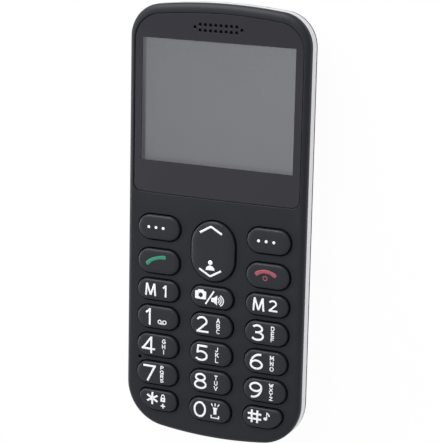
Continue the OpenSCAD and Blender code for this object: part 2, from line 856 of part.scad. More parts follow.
// Inner face of the battery cover's side wall beside each lip, drawn once and mirrored
module rail_places() {
    for (side = [0, 1], y = lip_y)
        mirror([side, 0, 0])
            translate([rail_x, y, 0])
                children();
}

module rear_housing() {
    color("#2a2b2e")
        difference() {
            union() {
                difference() {
                    union() {
                        difference() {
                            loft(concat(back_sections(0, lip_edge_z), [[outline(0), band_z]]));
                            cover_region(0);
                        }
                        loft(back_sections(back_z, cover_depth + over));
                    }
                    rear_hollow();
                }
                bay_block();
                for (p = screw_points)
                    translate([p.x, p.y, back_z])
                        cylinder(d = head_hole_d + 2 * head_wall, h = board_z - back_z);
            }
            bay_cut();
            for (p = screw_points)
                translate([p.x, p.y, back_z - over]) {
                    cylinder(d = head_hole_d, h = head_seat_z - back_z + over);
                    cylinder(d = screw_hole_d, h = board_z - back_z + 2 * over);
                }
            rail_grooves();
            back_openings();
            block(0, (usb_end_y + bottom_y - over) / 2, usb_w + 2 * loose_gap,
                  usb_end_y - bottom_y + over, usb_z - slide_gap, usb_top + slide_gap);
        }
}

// Room for the board and its pieces, with the ledge that the board lies on
module rear_hollow() {
    prism(outline(side_wall), board_z, band_z + over);
    intersection() {
        prism(outline(rear_wall), 0, board_z + over / 2);
        union() {
            loft(back_sections(plate_z, board_z + over / 2));
            intersection() {
                loft(back_sections(back_wall, board_z + over / 2));
                translate([-body_width, split_y + back_wall, 0])
                    cube([2 * body_width, body_length, board_z + over]);
            }
        }
    }
}

// Walls and floor of the battery bay
module bay_block() {
    block(0, battery_y, bay_w + 2 * bay_wall, bay_l + 2 * bay_wall, back_z, bay_z + bay_floor);
}

// Space for the battery, with the recess that the cards slide in and the opening for the connector
module bay_cut() {
    translate([0, battery_y, back_z - over])
        linear_extrude(bay_z - back_z + over)
            rounded_rect(bay_w, bay_l, battery_corner_r);
    block(0, (sim_top_y + card_bottom_y) / 2, sim_w + 2 * loose_gap, sim_top_y - card_bottom_y,
          bay_z - over, board_z);
    block(0, bay_top_y + connector_l / 2, connector_w + 2 * loose_gap, connector_l + 2 * loose_gap,
          plate_z, board_z);
}

// Grooves that the battery cover's lips run in, as long as the lip and its travel
module rail_grooves() {
    depth = lip_reach + slide_gap;
    rail_places()
        translate([-depth, -lip_l / 2 - cover_travel - slide_gap, lip_z - slide_gap])
            cube([depth + over, lip_l + cover_travel + 2 * slide_gap, lip_h + 2 * slide_gap]);
}

// Openings in the fixed upper back: camera, torch and sound slots
module back_openings() {
    translate([-camera_x, optics_y, -over]) {
        cylinder(d = camera_window_d + 2 * fit_gap, h = camera_sunk + camera_window_t + over);
        cylinder(d = camera_view_d, h = back_wall + 2 * over);
    }
    translate([torch_x, optics_y, -over])
        cylinder(d = torch_d + 2 * fit_gap, h = back_wall + 2 * over);
    for (i = [0 : slot_count - 1])
        translate([speaker_x + (i - (slot_count - 1) / 2) * slot_pitch, optics_y, -over])
            linear_extrude(back_wall + 2 * over)
                rotate(90)
                    stadium(slot_l, slot_w);
}

module battery_cover() {
    color("#2a2b2e")
        difference() {
            union() {
                difference() {
                    intersection() {
                        loft(back_sections(0, lip_edge_z));
                        cover_region(slide_gap);
                    }
                    loft(back_sections(cover_wall, lip_edge_z));
                }
                rail_places()
                    translate([-lip_reach, -lip_l / 2, lip_z])
                        cube([lip_reach + cover_wall / 2, lip_l, lip_h]);
            }
            for (i = [0 : grip_count - 1])
                translate([0, split_y - grip_from_split - i * grip_pitch, -over])
                    linear_extrude(grip_depth + over)
                        stadium(grip_l, grip_w);
        }
}

module battery() {
    color("#3d4046")
        translate([0, battery_y, battery_z])
            linear_extrude(battery_t)
                rounded_rect(battery_w, battery_l, battery_corner_r);
}

module battery_connector() {
    color("#1b1c1e")
        block(0, bay_top_y + connector_l / 2, connector_w, connector_l, plate_z + fit_gap, board_z);
}

// Sprung strips that bridge the gap from the connector to the battery
module battery_contacts() {
    color("#d9b25a")
        for (i = [-1 : 1])
            block(i * contact_pitch, bay_top_y - loose_gap / 2, contact_w, loose_gap,
                  plate_z + 2 * fit_gap, bay_z - 2 * fit_gap);
}

// Pressed sheet cage, open at the end where the card slides in
module card_cage(y, width, length, mouth) {
    difference() {
        block(0, y, width, length, bay_z, board_z);
        block(0, y + mouth * sheet_t, width - 2 * sheet_t, length, bay_z + sheet_t, board_z - sheet_t);
    }
}

module sim_holder() {
    color("#c3c5c8")
        card_cage(sim_y, sim_w, sim_l, -1);
}

module memory_card_socket() {
    color("#c3c5c8")
        card_cage(card_y, card_w, card_l, 1);
}

module main_board() {
    color("#1f5a3a")
        difference() {
            prism(outline(side_wall + loose_gap), board_z, board_top);
            for (p = screw_points)
                translate([p.x, p.y, board_z - over])
                    cylinder(d = screw_d + 2 * loose_gap, h = board_t + 2 * over);
        }
}

// Sheet metal lid, open towards the board
module shield_can() {
    color("#c3c5c8")
        difference() {
            block(0, shield_y, shield_w, shield_l, board_z - shield_h, board_z);
            block(0, shield_y, shield_w - 2 * sheet_t, shield_l - 2 * sheet_t,
                  board_z - shield_h + sheet_t, board_z + over);
        }
}

pad_w = 2 * (column_pitch + post_d);
pad_top_y = soft_y + post_d;
pad_bottom_y = last_row_y - post_d;

module pad_shape() {
    translate([0, (pad_top_y + pad_bottom_y) / 2])
        rounded_rect(pad_w, pad_top_y - pad_bottom_y, post_d);
}

module screw_clearance() {
    for (p = screw_points)
        translate(p)
            circle(d = boss_d + 2 * loose_gap);
}

module dome_film() {
    color("#dfe3e6")
        translate([0, 0, board_top])
            linear_extrude(film_t)
                difference() {
                    pad_shape();
                    for (p = press_points)
                        translate(p)
                            circle(d = dome_d + 2 * fit_gap);
                    screw_clearance();
                }
}

// Shallow caps of spring steel, each turned from an arc
module metal_domes() {
    cap_r = (pow(dome_d / 2, 2) + pow(dome_h, 2)) / (2 * dome_h);
    reach = asin(dome_d / 2 / cap_r);
    color("#c9cbce")
        for (p = press_points)
            translate([p.x, p.y, board_top])
                rotate_extrude()
                    polygon(concat(
                        [[0, 0]],
                        arc([0, dome_h - cap_r], cap_r, 90 - reach, 90, dome_steps)
                    ));
}

// Silicone sheet with a post over each dome
module keypad_membrane() {
    color("#e4e6e8")
        difference() {
            union() {
                translate([0, 0, membrane_z])
                    linear_extrude(membrane_t)
                        pad_shape();
                for (p = press_points)
                    translate([p.x, p.y, post_z])
                        cylinder(d = post_d, h = membrane_top - post_z);
            }
            translate([0, 0, membrane_z - over])
                linear_extrude(membrane_t + 2 * over)
                    screw_clearance();
        }
}

module microphone() {
    color("#b9bbbf")
        translate([mic_x, mic_y, board_top])
            cylinder(d = mic_d, h = mic_h);
}

// Rubber cup over the microphone, with a tube up to the hole in the face
module microphone_boot() {
    cup_top = board_top + mic_h + boot_wall;
    color("#1a1a1c")
        translate([mic_x, mic_y, 0])
            difference() {
                union() {
                    translate([0, 0, board_top])
                        cylinder(r = boot_r, h = cup_top - board_top);
                    translate([0, 0, board_top])
                        cylinder(r = tube_r, h = under_face - board_top);
                }
                translate([0, 0, board_top - over])
                    cylinder(d = mic_d, h = mic_h + over);
                translate([0, 0, board_top])
                    cylinder(d = mic_hole_d, h = face_z - board_top);
            }
}

module loudspeaker() {
    color("#1d1e20")
        translate([speaker_x, optics_y, back_wall + mesh_t])
            linear_extrude(speaker_h)
                rounded_rect(speaker_l, speaker_w, capsule_r);
}

module loudspeaker_mesh() {
    color("#0c0c0e")
        translate([speaker_x, optics_y, back_wall])
            linear_extrude(mesh_t)
                rounded_rect(speaker_l, speaker_w, capsule_r);
}

module camera_module() {
    color("#1b1c1e") {
        block(-camera_x, optics_y, camera_w, camera_w, board_z - camera_base_h, board_z);
        translate([-camera_x, optics_y, back_wall + fit_gap])
            cylinder(d = camera_barrel_d, h = board_z - back_wall - fit_gap);
    }
}

module camera_window() {
    color("#101114")
        translate([-camera_x, optics_y, camera_sunk])
            cylinder(d = camera_window_d, h = camera_window_t);
}

module torch_lamp() {
    color("#e8d98a")
        block(torch_x, optics_y, torch_lamp_w, torch_lamp_w, board_z - torch_lamp_h, board_z);
}

// Clear rod with a flange behind the back plate
module torch_light_pipe() {
    color("#dfe6ea")
        translate([torch_x, optics_y, 0]) {
            translate([0, 0, camera_sunk])
                cylinder(d = torch_d, h = board_z - torch_lamp_h - fit_gap - camera_sunk);
            translate([0, 0, back_wall])
                cylinder(d = torch_d + 2 * pipe_flange, h = pipe_flange_t);
        }
}

// Drawn steel shell with a contact tongue, standing off the board on four legs
module usb_socket() {
    color("#b9bbbf") {
        difference() {
            block(0, usb_y + usb_l / 2, usb_w, usb_l, usb_z, usb_top);
            block(0, usb_y + usb_l / 2 - usb_shell - over / 2, usb_w - 2 * usb_shell, usb_l + over,
                  usb_z + usb_shell, usb_top - usb_shell);
        }
        block(0, usb_y + usb_l / 2 + usb_shell, usb_tongue_w, usb_l - 2 * usb_shell,
              usb_top - usb_shell - 2 * usb_tongue_h, usb_top - usb_shell - usb_tongue_h);
        for (x = [-1, 1], y = [0, 1])
            translate([x * (usb_w / 2 - usb_leg_d), usb_y + usb_l - usb_leg_d - y * usb_leg_pitch,
                       usb_top - usb_shell / 2])
                cylinder(d = usb_leg_d, h = usb_drop + usb_shell / 2);
    }
}

module vibration_motor() {
    color("#b9bbbf")
        translate([motor_x, motor_y, plate_z])
            cylinder(d = motor_d, h = motor_h);
}

// Folded strip that runs out and back along the lower end
module antenna() {
    color("#c98f4e")
        translate([-antenna_w / 2, antenna_top_y - antenna_l, plate_z])
            linear_extrude(sheet_t) {
                square([antenna_w, antenna_strip]);
                square([antenna_strip, antenna_l]);
                translate([0, antenna_l - antenna_strip])
                    square([antenna_tail, antenna_strip]);
            }
}

// Pan head screws with a slot, driven from under the battery cover
module housing_screws() {
    color("#8d8f92")
        for (p = screw_points)
            translate([p.x, p.y, head_seat_z])
                difference() {
                    union() {
                        cylinder(d = screw_d, h = screw_l);
                        translate([0, 0, -screw_head_h])
                            cylinder(d = screw_head_d, h = screw_head_h);
                    }
                    block(0, 0, driver_slot_w, 2 * screw_head_d,
                          -screw_head_h - over, driver_slot_depth - screw_head_h);
                }
}

// Half section of a key above its shoulder: an edge that rounds over into the crown
function key_crown(half) =
    let (shoulder = face_z - key_shoulder, rise = key_proud + key_shoulder)
    [for (i = [0 : crown_steps]) let (a = 90 * i / crown_steps)
        [half * pow(cos(a), 2 / crown_power), shoulder + rise * pow(sin(a), 2 / crown_power)]];

// Key body: the section runs along the straight part and turns round both ends
module key_body(length, width, base) {
    section = concat([[0, base], [width / 2, base]], key_crown(width / 2));
    last = len(section) - 1;
    straight = length - width;
    rotate([90, 0, 90])
        translate([0, 0, -straight / 2])
            linear_extrude(straight)
                polygon(concat(
                    [for (i = [1 : last]) section[i]],
                    [for (i = [last - 1 : -1 : 1]) [-section[i].x, section[i].y]]
                ));
    for (side = [-1, 1])
        translate([side * straight / 2, 0, 0])
            rotate([0, 0, -90 * side])
                rotate_extrude(angle = 180)
                    polygon(section);
}

module key(k) {
    color("#303134")
        if (is_corner_key(k))
            corner_key(k);
        else
            plain_key(k);
}

// Key with an ear at each end, which holds it under the face
module plain_key(k) {
    height = row_h[k[2]] - 2 * key_gap;
    translate([key_x(k), key_y(k), 0]) {
        key_body(key_w - 2 * key_gap, height, ear_z);
        translate([0, 0, ear_z])
            linear_extrude(ear_t)
                stadium(key_w + 2 * key_ear, height);
    }
}

// Key beside a bottom corner, skinned through its outline at each height, with an ear at its inner end
module corner_key(k) {
    half = corner_h / 2 - key_gap;
    shape = corner_plan(key_gap);
    on_side(k) {
        loft(concat(
            [[shape, ear_z]],
            [for (p = key_crown(half)) [corner_slice(shape, max(p.x / half, crest_share)), p.y]]
        ));
        translate([column_pitch - (key_w / 2 + key_ear) / 2, corner_y, ear_z])
            linear_extrude(ear_t)
                stadium(key_w / 2 + key_ear, 2 * half);
    }
}

// Rocker with an ear at each side, level with its pivot
module key_rocker() {
    color("#303134")
        translate([0, rocker_y, 0]) {
            rotate([0, 0, 90])
                key_body(rocker_h - 2 * key_gap, rocker_w - 2 * key_gap, ear_z);
            block(0, 0, rocker_w + 2 * key_ear, rocker_ear_l, ear_z, ear_top - rocker_play);
        }
}

front_housing();
display_window();
window_adhesive();
earpiece_mesh();
receiver();
display_panel();
display_tray();
trim_band();
rear_housing();
battery_cover();
battery();
battery_connector();
battery_contacts();
sim_holder();
memory_card_socket();
main_board();
shield_can();
dome_film();
metal_domes();
keypad_membrane();
microphone();
microphone_boot();
loudspeaker();
loudspeaker_mesh();
camera_module();
camera_window();
torch_lamp();
torch_light_pipe();
usb_socket();
vibration_motor();
antenna();
housing_screws();
key_rocker();
for (k = KEYS)
    key(k);
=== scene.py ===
import math

import bmesh
import bpy
import numpy as np
from mathutils import Matrix, Vector
from mathutils.geometry import delaunay_2d_cdt


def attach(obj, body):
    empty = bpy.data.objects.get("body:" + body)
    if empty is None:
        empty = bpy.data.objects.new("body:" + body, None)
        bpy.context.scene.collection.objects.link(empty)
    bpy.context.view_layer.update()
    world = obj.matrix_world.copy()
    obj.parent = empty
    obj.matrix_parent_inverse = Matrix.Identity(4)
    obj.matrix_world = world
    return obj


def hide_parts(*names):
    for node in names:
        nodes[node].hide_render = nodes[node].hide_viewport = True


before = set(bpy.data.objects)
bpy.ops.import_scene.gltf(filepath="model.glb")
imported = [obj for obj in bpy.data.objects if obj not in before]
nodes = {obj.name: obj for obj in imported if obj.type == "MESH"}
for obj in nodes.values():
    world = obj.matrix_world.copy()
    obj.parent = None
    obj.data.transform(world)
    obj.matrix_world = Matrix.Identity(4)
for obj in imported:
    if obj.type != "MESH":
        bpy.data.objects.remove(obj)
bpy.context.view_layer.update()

# Camera. It looks down on the phone, which lies on its back, from half a metre off,
# on the phone's right and towards its top, through a long lens that keeps its sides parallel.
MM = 0.001
TILT, SWING, ROLL = np.radians([12.943, -24.594, -1.224])
AIM, AWAY = np.array([-0.14, 36.1, 12.4]), np.array([1.292, -33.608, 529.749])


def turned(angle, first, second):
    """A turn by an angle, from one axis towards another: cosines on the diagonal, sines off it."""
    turn = np.eye(3)
    turn[[first, second], [first, second]] = math.cos(angle)
    turn[second, first], turn[first, second] = math.sin(angle), -math.sin(angle)
    return turn


axes = turned(ROLL, 0, 1) @ turned(TILT, 1, 2) @ turned(SWING, 2, 0)
stand = np.eye(4)
stand[:3, :3] = axes.T
stand[:3, 3] = (axes.T @ AWAY + AIM) * MM
lens = bpy.data.cameras.new("camera")
lens.lens, lens.sensor_width, lens.clip_start = 148.0, 36.0, 0.01
camera = bpy.data.objects.new("camera", lens)
camera.matrix_world = Matrix(stand.tolist())
bpy.context.scene.collection.objects.link(camera)
bpy.context.scene.camera = camera
bpy.context.scene.view_settings.view_transform = "Standard"


# Front housing. One black ABS moulding: a straight wall, a rim that rounds over to a flat face,
# a sunk bed for the window, and an opening with softened edges for each key.
# It is screwed to the rear housing from behind through four bosses.
TOP, BOTTOM, HALF = 65.75, -65.75, 28.65
TOP_R, TOP_ARCH, BOTTOM_R, BOTTOM_ARCH = 10.0, 165.0, 13.4, 130.0
FACE_Z, WALL_Z, UNDER_Z, BED_Z = 13.05, 10.5, 11.55, 11.8
WALL, RIM, RIM_DEPTH, EDGE = 1.5, np.array([1.5, 2.2, 1.8]), 1.5, 0.18
SHARP, DOUBLE = math.radians(32), 2e-7
WINDOW_SIDE, WINDOW_TOP, WINDOW_GAP = 1.85, 2.85, 0.15
WINDOW_LOW, WINDOW_LOW_R, WINDOW_LOW_ARCH = 8.24, 2.4, 1500.0
VIEW_X, VIEW_LOW, VIEW_HIGH = 25.08, 17.14, 55.06
EAR_Y, EAR_PORT_W, EAR_PORT_H = 58.7, 16.6, 3.4
MICROPHONE, MICROPHONE_R, MICROPHONE_EDGE = (-24.05, -43.275), 0.55, 0.12
COLUMN, OPENING_W = 17.85, 14.4
ROW_Y = dict(soft=-2.1, call=-12.55, memory=-21.4, one=-30.0, four=-38.85, seven=-47.7, last=-56.55)
ROW_H = dict(soft=8.1, call=8.1, memory=7.1, one=7.6, four=7.6, seven=7.6, last=7.6)
ROCKER_Y, ROCKER_W, ROCKER_H = -7.325, 14.9, 18.95
CORNER_Y, CORNER_H, INNER_X = -56.2, 6.9, 14.1
TIP, TIP_R, LOW, LOW_R = (21.6, -55.15), 2.4, (18.327, -53.65), 6.0
KEYS = {
    "key_soft_left": (-1, "soft"), "key_soft_right": (1, "soft"),
    "key_call": (-1, "call"), "key_end": (1, "call"),
    "key_m1": (-1, "memory"), "key_camera": (0, "memory"), "key_m2": (1, "memory"),
    "key_1": (-1, "one"), "key_2": (0, "one"), "key_3": (1, "one"),
    "key_4": (-1, "four"), "key_5": (0, "four"), "key_6": (1, "four"),
    "key_7": (-1, "seven"), "key_8": (0, "seven"), "key_9": (1, "seven"),
    "key_star": (-1, "last"), "key_0": (0, "last"), "key_hash": (1, "last"), "key_rocker": (0, "rocker"),
}


def arc(centre, radius, start, end, count):
    """Points at even angles, in degrees, on part of a circle: centre plus radius times cosine and sine."""
    turn = np.radians(np.linspace(start, end, count))
    return np.column_stack([centre[0] + radius * np.cos(turn), centre[1] + radius * np.sin(turn)])


def ring(middle, radius, count):
    """Points at even angles all round a circle."""
    return arc(middle, radius, 0, 360, count + 1)[:-1]


def arched_outline(half, top, top_r, top_arch, bottom, bottom_r, bottom_arch, corner_steps=28, arch_steps=26):
    """A bar with straight sides, whose ends are shallow arches that touch a round corner at each side."""
    x_top, x_bottom = half - top_r, half - bottom_r
    top_turn = math.degrees(math.asin(x_top / (top_arch - top_r)))
    bottom_turn = math.degrees(math.asin(x_bottom / (bottom_arch - bottom_r)))
    y_top = top - top_arch + math.sqrt((top_arch - top_r) ** 2 - x_top ** 2)
    y_bottom = bottom + bottom_arch - math.sqrt((bottom_arch - bottom_r) ** 2 - x_bottom ** 2)
    return np.vstack([
        arc((x_bottom, y_bottom), bottom_r, bottom_turn - 90, 0, corner_steps),
        arc((x_top, y_top), top_r, 0, 90 - top_turn, corner_steps),
        arc((0, top - top_arch), top_arch, 90 - top_turn, 90 + top_turn, arch_steps)[1:-1],
        arc((-x_top, y_top), top_r, 90 + top_turn, 180, corner_steps),
        arc((-x_bottom, y_bottom), bottom_r, 180, 270 - bottom_turn, corner_steps),
        arc((0, bottom + bottom_arch), bottom_arch, 270 - bottom_turn, 270 + bottom_turn, arch_steps)[1:-1],
    ])


def body_outline(side, top=None, bottom=None):
    """The body's outline drawn in by a margin, or by three: at the sides, the top and the bottom."""
    top = side if top is None else top
    bottom = side if bottom is None else bottom
    return arched_outline(HALF - side, TOP - top, TOP_R - side, TOP_ARCH - top,
                          BOTTOM + bottom, BOTTOM_R - side, BOTTOM_ARCH - bottom)


def window_outline(gap):
    """The window's outline, let out by a gap all round."""
    return arched_outline(HALF - WINDOW_SIDE + gap, TOP - WINDOW_TOP + gap, TOP_R - WINDOW_SIDE + gap,
                          TOP_ARCH - WINDOW_TOP + gap, WINDOW_LOW - gap, WINDOW_LOW_R + gap, WINDOW_LOW_ARCH)


def long_round(x, y, width, height, gap=0.0, steps=32):
    """A rectangle whose shorter ends are half circles, let out by a gap all round."""
    radius = min(width, height) / 2
    along = np.array([width / 2 - radius, height / 2 - radius])
    start = -90 if along[0] >= along[1] else 0
    return np.vstack([arc((x, y) + along, radius + gap, start, start + 180, steps),
                      arc((x, y) - along, radius + gap, start + 180, start + 360, steps)])


def corner_round(side, gap):
    """A corner key's outline: a half circle at its inner end, and two arcs at its outer one that bend round
    with the body's corner, the lower one the larger."""
    turn = math.degrees(math.atan2(TIP[1] - LOW[1], TIP[0] - LOW[0]))
    right = np.vstack([
        arc((INNER_X, CORNER_Y), CORNER_H / 2 + gap, 90, 270, 32),
        arc(LOW, LOW_R + gap, -90, turn, 20),
        arc(TIP, TIP_R + gap, turn, 90, 16)[1:],
    ])
    return right if side > 0 else right[::-1] * np.array([-1.0, 1.0])


def opening(key, gap):
    """A key's opening in the face, let out by a gap all round."""
    column, row = KEYS[key]
    if row == "rocker":
        return long_round(0, ROCKER_Y, ROCKER_W, ROCKER_H, gap)
    if row == "last" and column:
        return corner_round(column, gap)
    return long_round(column * COLUMN, ROW_Y[row], OPENING_W, ROW_H[row], gap)


def level(outline, z):
    """A flat outline lifted to a height."""
    return np.column_stack([outline, np.full(len(outline), z)])


def skin(loops, closed=False):
    """Four-sided faces between equal loops of points, in order; closed joins the last loop to the first."""
    stack = np.array(loops)
    rows, count = stack.shape[:2]
    number = np.arange(rows * count).reshape(rows, count)
    lower = number if closed else number[:-1]
    upper = np.roll(number, -1, 0) if closed else number[1:]
    quads = np.stack([lower, np.roll(lower, -1, 1), np.roll(upper, -1, 1), upper], -1)
    return stack.reshape(-1, 3), quads.reshape(-1, 4).tolist(), True


def flat(outlines, z, up=True):
    """A flat sheet at a height inside the first outline and outside the others, cut into a Delaunay net."""
    rings, start = [], 0
    for outline in outlines:
        after = np.roll(outline, -1, axis=0)
        turn = (outline[:, 0] * after[:, 1] - outline[:, 1] * after[:, 0]).sum()
        rings.append(list(range(start, start + len(outline)))[::1 if turn > 0 else -1])
        start += len(outline)
    inside, touched = 1, 1e-6
    corners = [Vector(point) for point in np.vstack(outlines).tolist()]
    net = delaunay_2d_cdt(corners, [], rings, inside, touched)
    points = level(np.array([corner[:] for corner in net[0]]), z)
    sheet = [list(face) for face, within in zip(net[2], net[5]) if list(within) == [0]]
    return points, sheet if up else [face[::-1] for face in sheet], False


def softened_opening(outline_at, radius, bottom):
    """Wall of an opening: a quarter round from the face into the opening, then straight down."""
    turn = np.linspace(0, math.pi / 2, 7)
    loops = [level(outline_at(radius * (1 - math.sin(a))), FACE_Z - radius * (1 - math.cos(a))) for a in turn]
    return skin(loops + [level(outline_at(0.0), bottom)])


def add_piece(name, parts, material, body, stands_for=()):
    """Joins parts, given in millimetres, into one mesh, merges its doubles and lets it ride on a body."""
    start, corners, faces, smooth = 0, [], [], []
    for points, part_faces, curved in parts:
        corners.append(points)
        faces += [[start + k for k in face] for face in part_faces]
        smooth += [curved] * len(part_faces)
        start += len(points)
    mesh = bpy.data.meshes.new(name)
    mesh.from_pydata((np.vstack(corners) * MM).tolist(), [], faces)
    mesh.polygons.foreach_set("use_smooth", smooth)
    merged = bmesh.new()
    merged.from_mesh(mesh)
    bmesh.ops.remove_doubles(merged, verts=merged.verts, dist=DOUBLE)
    merged.to_mesh(mesh)
    merged.free()
    mesh.set_sharp_from_angle(angle=SHARP)
    piece = bpy.data.objects.new(name, mesh)
    bpy.context.scene.collection.objects.link(piece)
    mesh.materials.append(material)
    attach(piece, body)
    if stands_for:
        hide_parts(*stands_for)
    return piece


def linear(hex_colour):
    """An sRGB hex colour as linear red, green, blue and alpha."""
    value = np.array([int(hex_colour[k:k + 2], 16) for k in (1, 3, 5)]) / 255
    value = np.where(value <= 0.04045, value / 12.92, ((value + 0.055) / 1.055) ** 2.4)
    return (*value.tolist(), 1.0)


def new_material(name):
    """An empty node material."""
    material = bpy.data.materials.new(name)
    material.use_nodes = True
    material.node_tree.nodes.clear()
    return material


def add_node(material, kind, inputs=None, colours=(), **settings):
    """Adds one shader node, sets its properties and its ramp's colours, and sets or links its inputs.
    A node that is given as an input stands for its first output."""
    node = material.node_tree.nodes.new("ShaderNode" + kind)
    for key, value in settings.items():
        setattr(node, key, value)
    for stop, colour in enumerate(colours):
        node.color_ramp.elements[stop].color = linear(colour)
    for key, value in (inputs or {}).items():
        value = value.outputs[0] if isinstance(value, bpy.types.Node) else value
        if isinstance(value, bpy.types.NodeSocket):
            material.node_tree.links.new(value, node.inputs[key])
        else:
            node.inputs[key].default_value = value
    return node


def moulded_satin(name, grit_size, cloud_size, colours, rough, relief, shine):
    """Moulded ABS: soft clouds between two colours, and a fine grit that varies the gloss and stands up
    a little. Sizes are in millimetres; relief is the grit's strength and height."""
    satin = new_material(name)
    where = add_node(satin, "TexCoord").outputs["Object"]
    grit = add_node(satin, "TexNoise", {"Vector": where, "Scale": 1 / (grit_size * MM)})
    cloud = add_node(satin, "TexNoise", {"Vector": where, "Scale": 1 / (cloud_size * MM)})
    shade = add_node(satin, "ValToRGB", {"Fac": cloud}, colours)
    sheen = add_node(satin, "MapRange", {"Value": grit, "To Min": rough[0], "To Max": rough[1]})
    raised = add_node(satin, "Bump", {"Strength": relief[0], "Distance": relief[1] * MM, "Height": grit})
    plastic = add_node(satin, "BsdfPrincipled", {
        "Base Color": shade, "Roughness": sheen, "IOR": 1.53, "Specular IOR Level": shine, "Normal": raised})
    add_node(satin, "OutputMaterial", {"Surface": plastic})
    return satin


# Moulded ABS: charcoal grey, with the even satin of a spark-eroded mould. The grit is 0.2 mm here,
# a little coarser than real, so that it shows.
abs_satin = moulded_satin("abs_moulded_satin_charcoal", 0.2, 9, ("#14161b", "#181a20"),
                          (0.48, 0.6), (0.25, 0.012), 0.22)

rim = [level(body_outline(*(RIM * (1 - math.cos(a)))), FACE_Z - RIM_DEPTH * (1 - math.sin(a)))
       for a in np.linspace(0, math.pi / 2, 15)]
foot = [level(body_outline(inset), z) for inset, z in (
    (WALL, UNDER_Z), (WALL, WALL_Z), (0.15, WALL_Z), (0.04, WALL_Z + 0.05), (0.0, WALL_Z + 0.15))]
view = np.array([(VIEW_X, VIEW_LOW), (VIEW_X, VIEW_HIGH), (-VIEW_X, VIEW_HIGH), (-VIEW_X, VIEW_LOW)])
ear_port = long_round(0, EAR_Y, EAR_PORT_W, EAR_PORT_H)
face_holes = [window_outline(WINDOW_GAP + EDGE)] + [opening(key, EDGE) for key in KEYS]
face_holes.append(ring(MICROPHONE, MICROPHONE_R + MICROPHONE_EDGE, 32))
under_holes = [view, ear_port, ring(MICROPHONE, MICROPHONE_R, 32)] + [opening(key, 0.0) for key in KEYS]
parts = [skin(foot + rim), flat([rim[-1][:, :2]] + face_holes, FACE_Z)]
parts += [softened_opening(lambda gap, key=key: opening(key, gap), EDGE, UNDER_Z) for key in KEYS]
parts.append(softened_opening(lambda gap: window_outline(WINDOW_GAP + gap), EDGE, BED_Z))
parts.append(softened_opening(lambda gap: ring(MICROPHONE, MICROPHONE_R + gap, 32), MICROPHONE_EDGE, UNDER_Z))
parts.append(flat([window_outline(WINDOW_GAP), view, ear_port], BED_Z))
parts += [skin([level(hole, BED_Z), level(hole, UNDER_Z)]) for hole in (view, ear_port)]
parts.append(flat([body_outline(WALL)] + under_holes, UNDER_Z, up=False))
add_piece("front_moulding", parts, abs_satin, "phone", ["front_housing"])


# Display window. A pane of clear acrylic, printed dark from behind round the picture and drilled for the
# earpiece. Its edge is milled, and it is stuck into the bed of the front housing with an adhesive frame.
PANE_LOW, PANE_TOP, PANE_EDGE, PANE_SLACK = 11.95, 13.0, 0.03, 0.07
HOLE_R, SINK_R, SINK_DEPTH = 0.475, 0.55, 0.075
HOLE_PITCH, HOLE_ROW, HOLE_END = 1.66, 0.85, 7.47
PICTURE_X, PICTURE_Y, PICTURE_MIDDLE, PRINT_BACK, PRINT_Z = 24.48, 18.26, 36.4, 0.9, 12.4
PAINTED_SHADE_START, PAINTED_SHADE_END = 58, 45


def pane_outline(inset):
    """The pane's outline drawn in all round; it is stuck in against the upper right of its bed."""
    return window_outline(-PANE_SLACK - inset) + PANE_SLACK


pane_side = [level(pane_outline(0.0), PANE_LOW)] + [
    level(pane_outline(PANE_EDGE * (1 - math.cos(a))), PANE_TOP - PANE_EDGE * (1 - math.sin(a)))
    for a in np.linspace(0, math.pi / 2, 6)]
middles = [(x, EAR_Y + y) for y in (-HOLE_ROW, HOLE_ROW) for x in (np.arange(8) - 3.5) * HOLE_PITCH]
middles += [(-HOLE_END, EAR_Y), (HOLE_END, EAR_Y)]
drilled = [ring(middle, HOLE_R, 24) for middle in middles]
countersunk = [ring(middle, SINK_R, 24) for middle in middles]
parts = [skin(pane_side), flat([pane_side[-1][:, :2]] + countersunk, PANE_TOP),
         flat([pane_outline(0.0)] + drilled, PANE_LOW, up=False)]
parts += [skin([level(wide, PANE_TOP), level(narrow, PANE_TOP - SINK_DEPTH), level(narrow, PANE_LOW)])
          for wide, narrow in zip(countersunk, drilled)]

# Back-printed acrylic: the print looks a deep grey through the polished front, its colour and gloss mottled
# faintly by dust in patches about 14 mm across. Painted shade darkens it towards its top, above the picture,
# and stands for a darker reflection there. Over the picture there is no print, and the pane is clear.
# Acrylic bends light, so that the print behind it seems to lie close under the front: its edge is drawn
# there, the back face stays clear 0.9 mm further out, and lamp light passes the whole pane, so that the print
# throws no shadow on the picture.
acrylic = new_material("acrylic_pane_printed_grey")
where = add_node(acrylic, "TexCoord").outputs["Object"]
xyz = add_node(acrylic, "SeparateXYZ", {"Vector": where}).outputs
behind = add_node(acrylic, "Math", {0: xyz["Z"], 1: PRINT_Z * MM}, operation="LESS_THAN")
edge_x = add_node(acrylic, "MapRange", {
    "Value": behind, "To Min": PICTURE_X * MM, "To Max": (PICTURE_X + PRINT_BACK) * MM})
edge_y = add_node(acrylic, "MapRange", {
    "Value": behind, "To Min": PICTURE_Y * MM, "To Max": (PICTURE_Y + PRINT_BACK) * MM})
far_x = add_node(acrylic, "Math", {0: xyz["X"]}, operation="ABSOLUTE")
from_y = add_node(acrylic, "Math", {0: xyz["Y"], 1: PICTURE_MIDDLE * MM}, operation="SUBTRACT")
far_y = add_node(acrylic, "Math", {0: from_y}, operation="ABSOLUTE")
in_x = add_node(acrylic, "Math", {0: far_x, 1: edge_x}, operation="LESS_THAN")
in_y = add_node(acrylic, "Math", {0: far_y, 1: edge_y}, operation="LESS_THAN")
clear = add_node(acrylic, "Math", {0: in_x, 1: in_y}, operation="MULTIPLY")
solid = add_node(acrylic, "MapRange", {"Value": clear, "To Min": 1.0, "To Max": 0.06})
path = add_node(acrylic, "LightPath").outputs
lit = add_node(acrylic, "Math", {0: path["Is Shadow Ray"], 1: path["Is Diffuse Ray"]}, operation="MAXIMUM")
